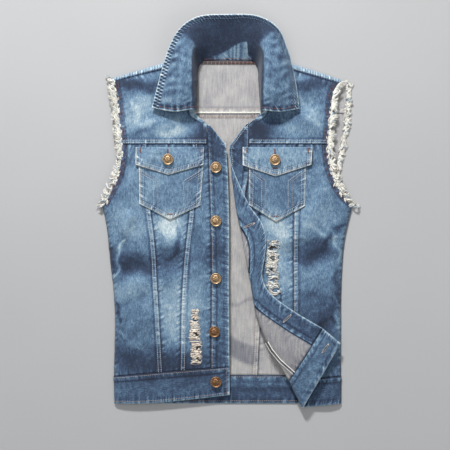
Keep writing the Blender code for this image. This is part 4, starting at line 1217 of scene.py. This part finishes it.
def make_rips():
    """Bared weft across each rip, parted round its gaps, with tufts and torn ends."""
    for name, box, seed, tuft, look in RIP_THREADS:
        chance = np.random.default_rng(seed)
        left, right, low, high = box
        lines, looks = [], []

        def lean(y):
            return 1.8 * math.sin((y - low) / 13.0) + 1.2 * math.sin((y - low) / 4.7)

        def inset(y):
            return 8.0 * float(ease(high - 42, high + 8, y)) * (name == "right_centre")

        def add(line, lift, odds):
            lines.append(pieces[name].over(line, lift)[0])
            looks.append(int(chance.choice(3, p=odds)))

        along = np.linspace(0, 1, 11)
        bow = np.sin(math.pi * along)
        for y in np.arange(low, high, 1.0):
            x = np.linspace(left - chance.uniform(-1, 1.5), right - inset(y) + chance.uniform(-1, 1.5), 11)
            at = y + chance.uniform(-1.2, 1.2) + bow * chance.uniform(-2.0, 2.0)
            for gap_x, gap_y, half_x, half_y in RIPS[name]:
                part = (y - gap_y) / (half_y + 2.0)
                if abs(part) < 1:
                    push = (1 - abs(part)) * (half_y + 1.0) * (1 if part >= 0 else -1)
                    at = at + push * np.exp(-((x - gap_x) / (half_x * chance.uniform(0.8, 1.3))) ** 4)
            add(np.stack([x + lean(y), at], -1), 0.5 + chance.uniform(0, 0.7), (0.72, 0.08, 0.20))
        for _ in range(TUFTS):
            y = chance.uniform(low, high)
            x, turn = chance.uniform(left + 1, right - inset(y) - 1) + lean(y), chance.uniform(0, 6.3)
            for _ in range(TUFT_THREADS):
                way = turn + chance.uniform(-1.1, 1.1)
                reach = chance.uniform(*tuft)
                curl = chance.uniform(-1.5, 1.5) * np.sin(along * 3)
                line = np.stack([x + reach * along * math.cos(way) - curl * math.sin(way),
                                 y + reach * along * math.sin(way) * 0.7 + curl * math.cos(way)], -1)
                add(line, 1.0 + chance.uniform(0, 1.3), (0.80, 0.04, 0.16))
        for _ in range(TORN_ENDS):
            y, side = chance.uniform(low - 2, high + 2), -1 if chance.random() < 0.5 else 1
            x = (left if side < 0 else right - inset(y)) + lean(y) - side * 1.5
            reach, turn = chance.uniform(2, 5), chance.uniform(-0.9, 0.9)
            run_x, run_y = side * reach * along * math.cos(turn), reach * along * math.sin(turn)
            line = np.stack([x + run_x, y + run_y], -1)
            add(line, 0.7 + chance.uniform(0, 0.5), (0.55, 0.35, 0.10))
        # The tan threads among the bared weft are painted shade: threads lying in shadow.
        strands(f"{name}_bared_weft", lines, chance.uniform(0.36, 0.66, len(lines)), [look, "blue", "tan"],
                look_of=np.array(looks))


WOUND_THREADS, LOCK_THREADS = 10, 9


def make_fringe(name, side, edge, low, high, height, reach, count, seed):
    """A torn armhole: long threads wound along its edge, and short ones drawn out of it in locks."""
    chance = np.random.default_rng(seed)
    y = np.linspace(low, high, 200)
    path = np.stack([SIGN[side] * (edge(y) + 0.3), y], -1)
    step = unit(np.gradient(path, axis=0))
    outward = np.stack([step[:, 1], -step[:, 0]], -1) * SIGN[side]
    share = np.linspace(0, 1, 200)

    def at(t, out, along, up):
        place = [np.interp(t, share, path[:, k]) + np.interp(t, share, outward[:, k]) * out
                 + np.interp(t, share, step[:, k]) * along for k in range(2)]
        base = height(np.interp(t, share, path[:, 0]), place[1])
        return np.stack([*place, np.maximum(base + up, 0.95)], -1)

    t = np.linspace(0, 1, 110)
    wound = []
    for _ in range(WOUND_THREADS):
        phase, pace = chance.uniform(0, 6.3, 4), chance.uniform(14, 60, 2)
        out = (chance.uniform(-1.5, 3.5) + 2.4 * np.sin(t * pace[0] + phase[0])
               + 0.8 * np.sin(t * pace[1] * 2 + phase[1]))
        up = 0.7 + 0.8 * np.sin(t * pace[0] * 1.3 + phase[2]) + 0.4 * np.sin(t * 90 + phase[3])
        wound.append(at(t, out, 0 * t, up))
    strands(f"{name}_wound", wound, chance.uniform(0.45, 0.8, WOUND_THREADS), ["cream", "tan"],
            look_of=np.arange(WOUND_THREADS) % 5 // 4, sides=4)
    s = np.linspace(0, 1, 8)
    drawn, looks = [], []
    for _ in range(count // LOCK_THREADS):
        root, swing, curl = chance.random(), chance.uniform(-1.2, 1.2), chance.uniform(-1.0, 1.0)
        long = reach * chance.uniform(0.5, 1.0)
        inward = chance.random() < 0.2
        for _ in range(LOCK_THREADS):
            t = np.full(8, np.clip(root + chance.uniform(-0.008, 0.008), 0, 1))
            length = long * chance.uniform(0.7, 1.0) * (0.5 if inward else 1)
            sway = swing + chance.uniform(-0.25, 0.25)
            out = -1.2 + length * s * (-1 if inward else 1) + (2.0 if inward else 0.0)
            along = length * (sway * s + curl * np.sin(2.4 * s) * 0.5 + 0.12 * np.sin(9 * s + root * 50))
            up = 1.7 + 1.2 * np.sin(math.pi * s) * chance.uniform(0.4, 1.8) - (0 if inward else 1.2) * s
            drawn.append(at(t, out, along, up))
            looks.append(int(chance.choice(3, p=(0.86, 0.09, 0.05))))
    made = strands(f"{name}_drawn", drawn, chance.uniform(0.42, 0.80, len(drawn)), ["cream", "blue", "tan"],
                   look_of=np.array(looks), ends=(0.6, 0.55))
    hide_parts(name)


def make_fringes():
    for side, low, high in (("right", 7, 249), ("left", 7, 239)):
        def on_front(x, y, side=side):
            return front_height(side, x, y)
        make_fringe(f"{side}_front_fringe", side, armhole[side], low, high, on_front, 17.5, 1300,
                    31 + SIGN[side])
    for side, low in (("right", 120), ("left", 60)):
        make_fringe(f"{side}_back_fringe", side, back_armhole[side], low, 243, lambda x, y: 0.9 + 0 * y, 14.5,
                    800, 41 + SIGN[side])


FACE = [             # (share of the radius, height) of a button's face, from its middle to its rim
    (0.0, 5.75), (0.22, 5.70), (0.42, 5.35), (0.56, 4.75), (0.62, 4.45), (0.76, 4.40), (0.81, 4.75),
    (0.88, 5.25), (0.94, 5.15), (0.98, 4.70), (1.0, 4.2), (0.99, 3.6), (0.95, 3.1), (0.80, 2.6), (0.40, 2.3),
    (0.36, 2.1), (0.36, -0.4),
]
FACE_ROWS = 11       # of them on top
FINE_ROWS, BUTTON_COLUMNS = 56, 96


def make_buttons():
    """Cast tack buttons: a wreath of small leaves and a ring of beads inside a plain rim."""
    around = np.linspace(0, 2 * math.pi, BUTTON_COLUMNS, endpoint=False)
    share, height = np.array(FACE).T
    fine, rows = np.linspace(0, FACE_ROWS - 1, FINE_ROWS), np.arange(FACE_ROWS)
    shares = np.concatenate([np.interp(fine, rows, share[:FACE_ROWS]), share[FACE_ROWS:]])
    heights = np.concatenate([np.interp(fine, rows, height[:FACE_ROWS]), height[FACE_ROWS:]])
    r, a = np.meshgrid(shares, around, indexing="ij")
    top = (np.arange(len(shares)) < FINE_ROWS)[:, None]
    beads = 0.34 * np.maximum(np.cos(a * 30), 0) * np.exp(-((r - 0.70) / 0.045) ** 2)
    leaves = 0.42 * np.maximum(np.cos(a * 9 + 5.5 * (r - 0.4)), 0) ** 1.5 * np.exp(-((r - 0.40) / 0.13) ** 2)
    star = 0.38 * np.maximum(np.cos(a * 5), 0) * np.exp(-((r - 0.13) / 0.09) ** 2)
    z = heights[:, None] + (beads + leaves + star) * top
    raised = (beads / 0.34 + leaves / 0.42 + star / 0.38 + np.exp(-((r - 0.91) / 0.06) ** 2)) * top
    tone = np.append(np.clip(0.24 + 0.75 * raised, 0, 1).ravel(), 0.8)
    rings, count = len(shares), len(around)
    points = np.stack([r * np.cos(a) * BUTTON_RADIUS, r * np.sin(a) * BUTTON_RADIUS, z], -1).reshape(-1, 3)
    index = np.arange(rings * count).reshape(rings, count)
    after = np.roll(index, -1, axis=1)
    walls = np.stack([index[:-1], index[1:], after[1:], after[:-1]], -1).reshape(-1, 4)
    walls = walls[count:].tolist()
    middle = rings * count
    walls += [(middle, int(index[1, k]), int(after[1, k])) for k in range(count)]
    walls.append(index[-1][::-1].tolist())
    points = np.concatenate([points, [[0, 0, heights[0] + 0.2]]])
    for k, (name, (x, y)) in enumerate(BUTTONS.items()):
        side = "left" if x > 0 else "right"
        on_flap = FLAP_LIFT + FLAP_DEPTH + CLOTH / 2 + GAP
        on_strip = DOUBLE - CLOTH / 2 + 2 * GAP
        base = front_height(side, x, y) + (on_flap if name.startswith("flap") else on_strip)
        cos, sin = math.cos(0.7 * k), math.sin(0.7 * k)
        spun = points @ np.array([[cos, sin, 0], [-sin, cos, 0], [0, 0, 1]])
        look = "copper" if name in ("placket_4", "placket_5") else "brass"
        made = add_mesh(f"button_{name}_cast", spun + np.array([x, y, base]), walls, [look], tone)
        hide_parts("button_" + name)


SENSOR = 36          # of the camera, in millimetres
CAMERA_HEIGHT, VIEW_HALF, VIEW_LEVEL = 3.0, 0.4275, 0.015    # metres: half the photo's width at that level
FLOOR_HALF = 4.0
LAMPS = [            # (name, place in metres, size, watts)
    ("key", (-0.45, 2.35, 1.65), 0.30, 118), ("fill", (1.4, -1.4, 2.0), 1.8, 12),
    ("top", (-0.6, 0.3, 2.6), 1.6, 14),
]


def make_camera_and_lights():
    view = bpy.data.cameras.new("camera")
    view.sensor_width = SENSOR
    view.lens = SENSOR / 2 / (VIEW_HALF / (CAMERA_HEIGHT - VIEW_LEVEL))
    camera = bpy.data.objects.new("camera", view)
    camera.location = (-0.0057, -0.0285, CAMERA_HEIGHT)
    bpy.context.scene.collection.objects.link(camera)
    bpy.context.scene.camera = camera
    for name, place, size, power in LAMPS:
        lamp = bpy.data.lights.new(name, "AREA")
        lamp.size, lamp.energy = size, power
        light = bpy.data.objects.new(name, lamp)
        light.location = place
        bpy.context.scene.collection.objects.link(light)
        x, y, z = -np.array(place)
        light.rotation_euler = (math.atan2(math.hypot(x, y), -z), 0, math.atan2(x, -y) + math.pi)
    world = bpy.data.worlds.new("studio")
    world.use_nodes = True
    world.node_tree.nodes["Background"].inputs["Color"].default_value = (0.86, 0.89, 0.93, 1)
    world.node_tree.nodes["Background"].inputs["Strength"].default_value = 0.36
    bpy.context.scene.world = world
    bpy.context.scene.view_settings.view_transform = "Standard"
    mesh = bpy.data.meshes.new("floor")
    corners = [(FLOOR_HALF * x, FLOOR_HALF * y, 0) for x, y in ((-1, -1), (1, -1), (1, 1), (-1, 1))]
    mesh.from_pydata(corners, [], [(0, 1, 2, 3)])
    floor = bpy.data.objects.new("floor", mesh)
    floor.location.z = -0.0002
    made, shader, place = start_material("pale floor", 0.7)
    connect(shader, place.noise(3.0, 2.0).blend((0.36, 0.36, 0.365, 1), (0.40, 0.40, 0.405, 1)))
    mesh.materials.append(made)
    bpy.context.scene.collection.objects.link(floor)


make_camera_and_lights()
make_back()
make_right_front()
make_left_front()
make_shoulders()
make_collar()
make_pockets()
make_stitches()
make_neck_tape()
make_felled_seam()
make_buttonholes()
make_bartacks()
make_rips()
make_fringes()
make_buttons()
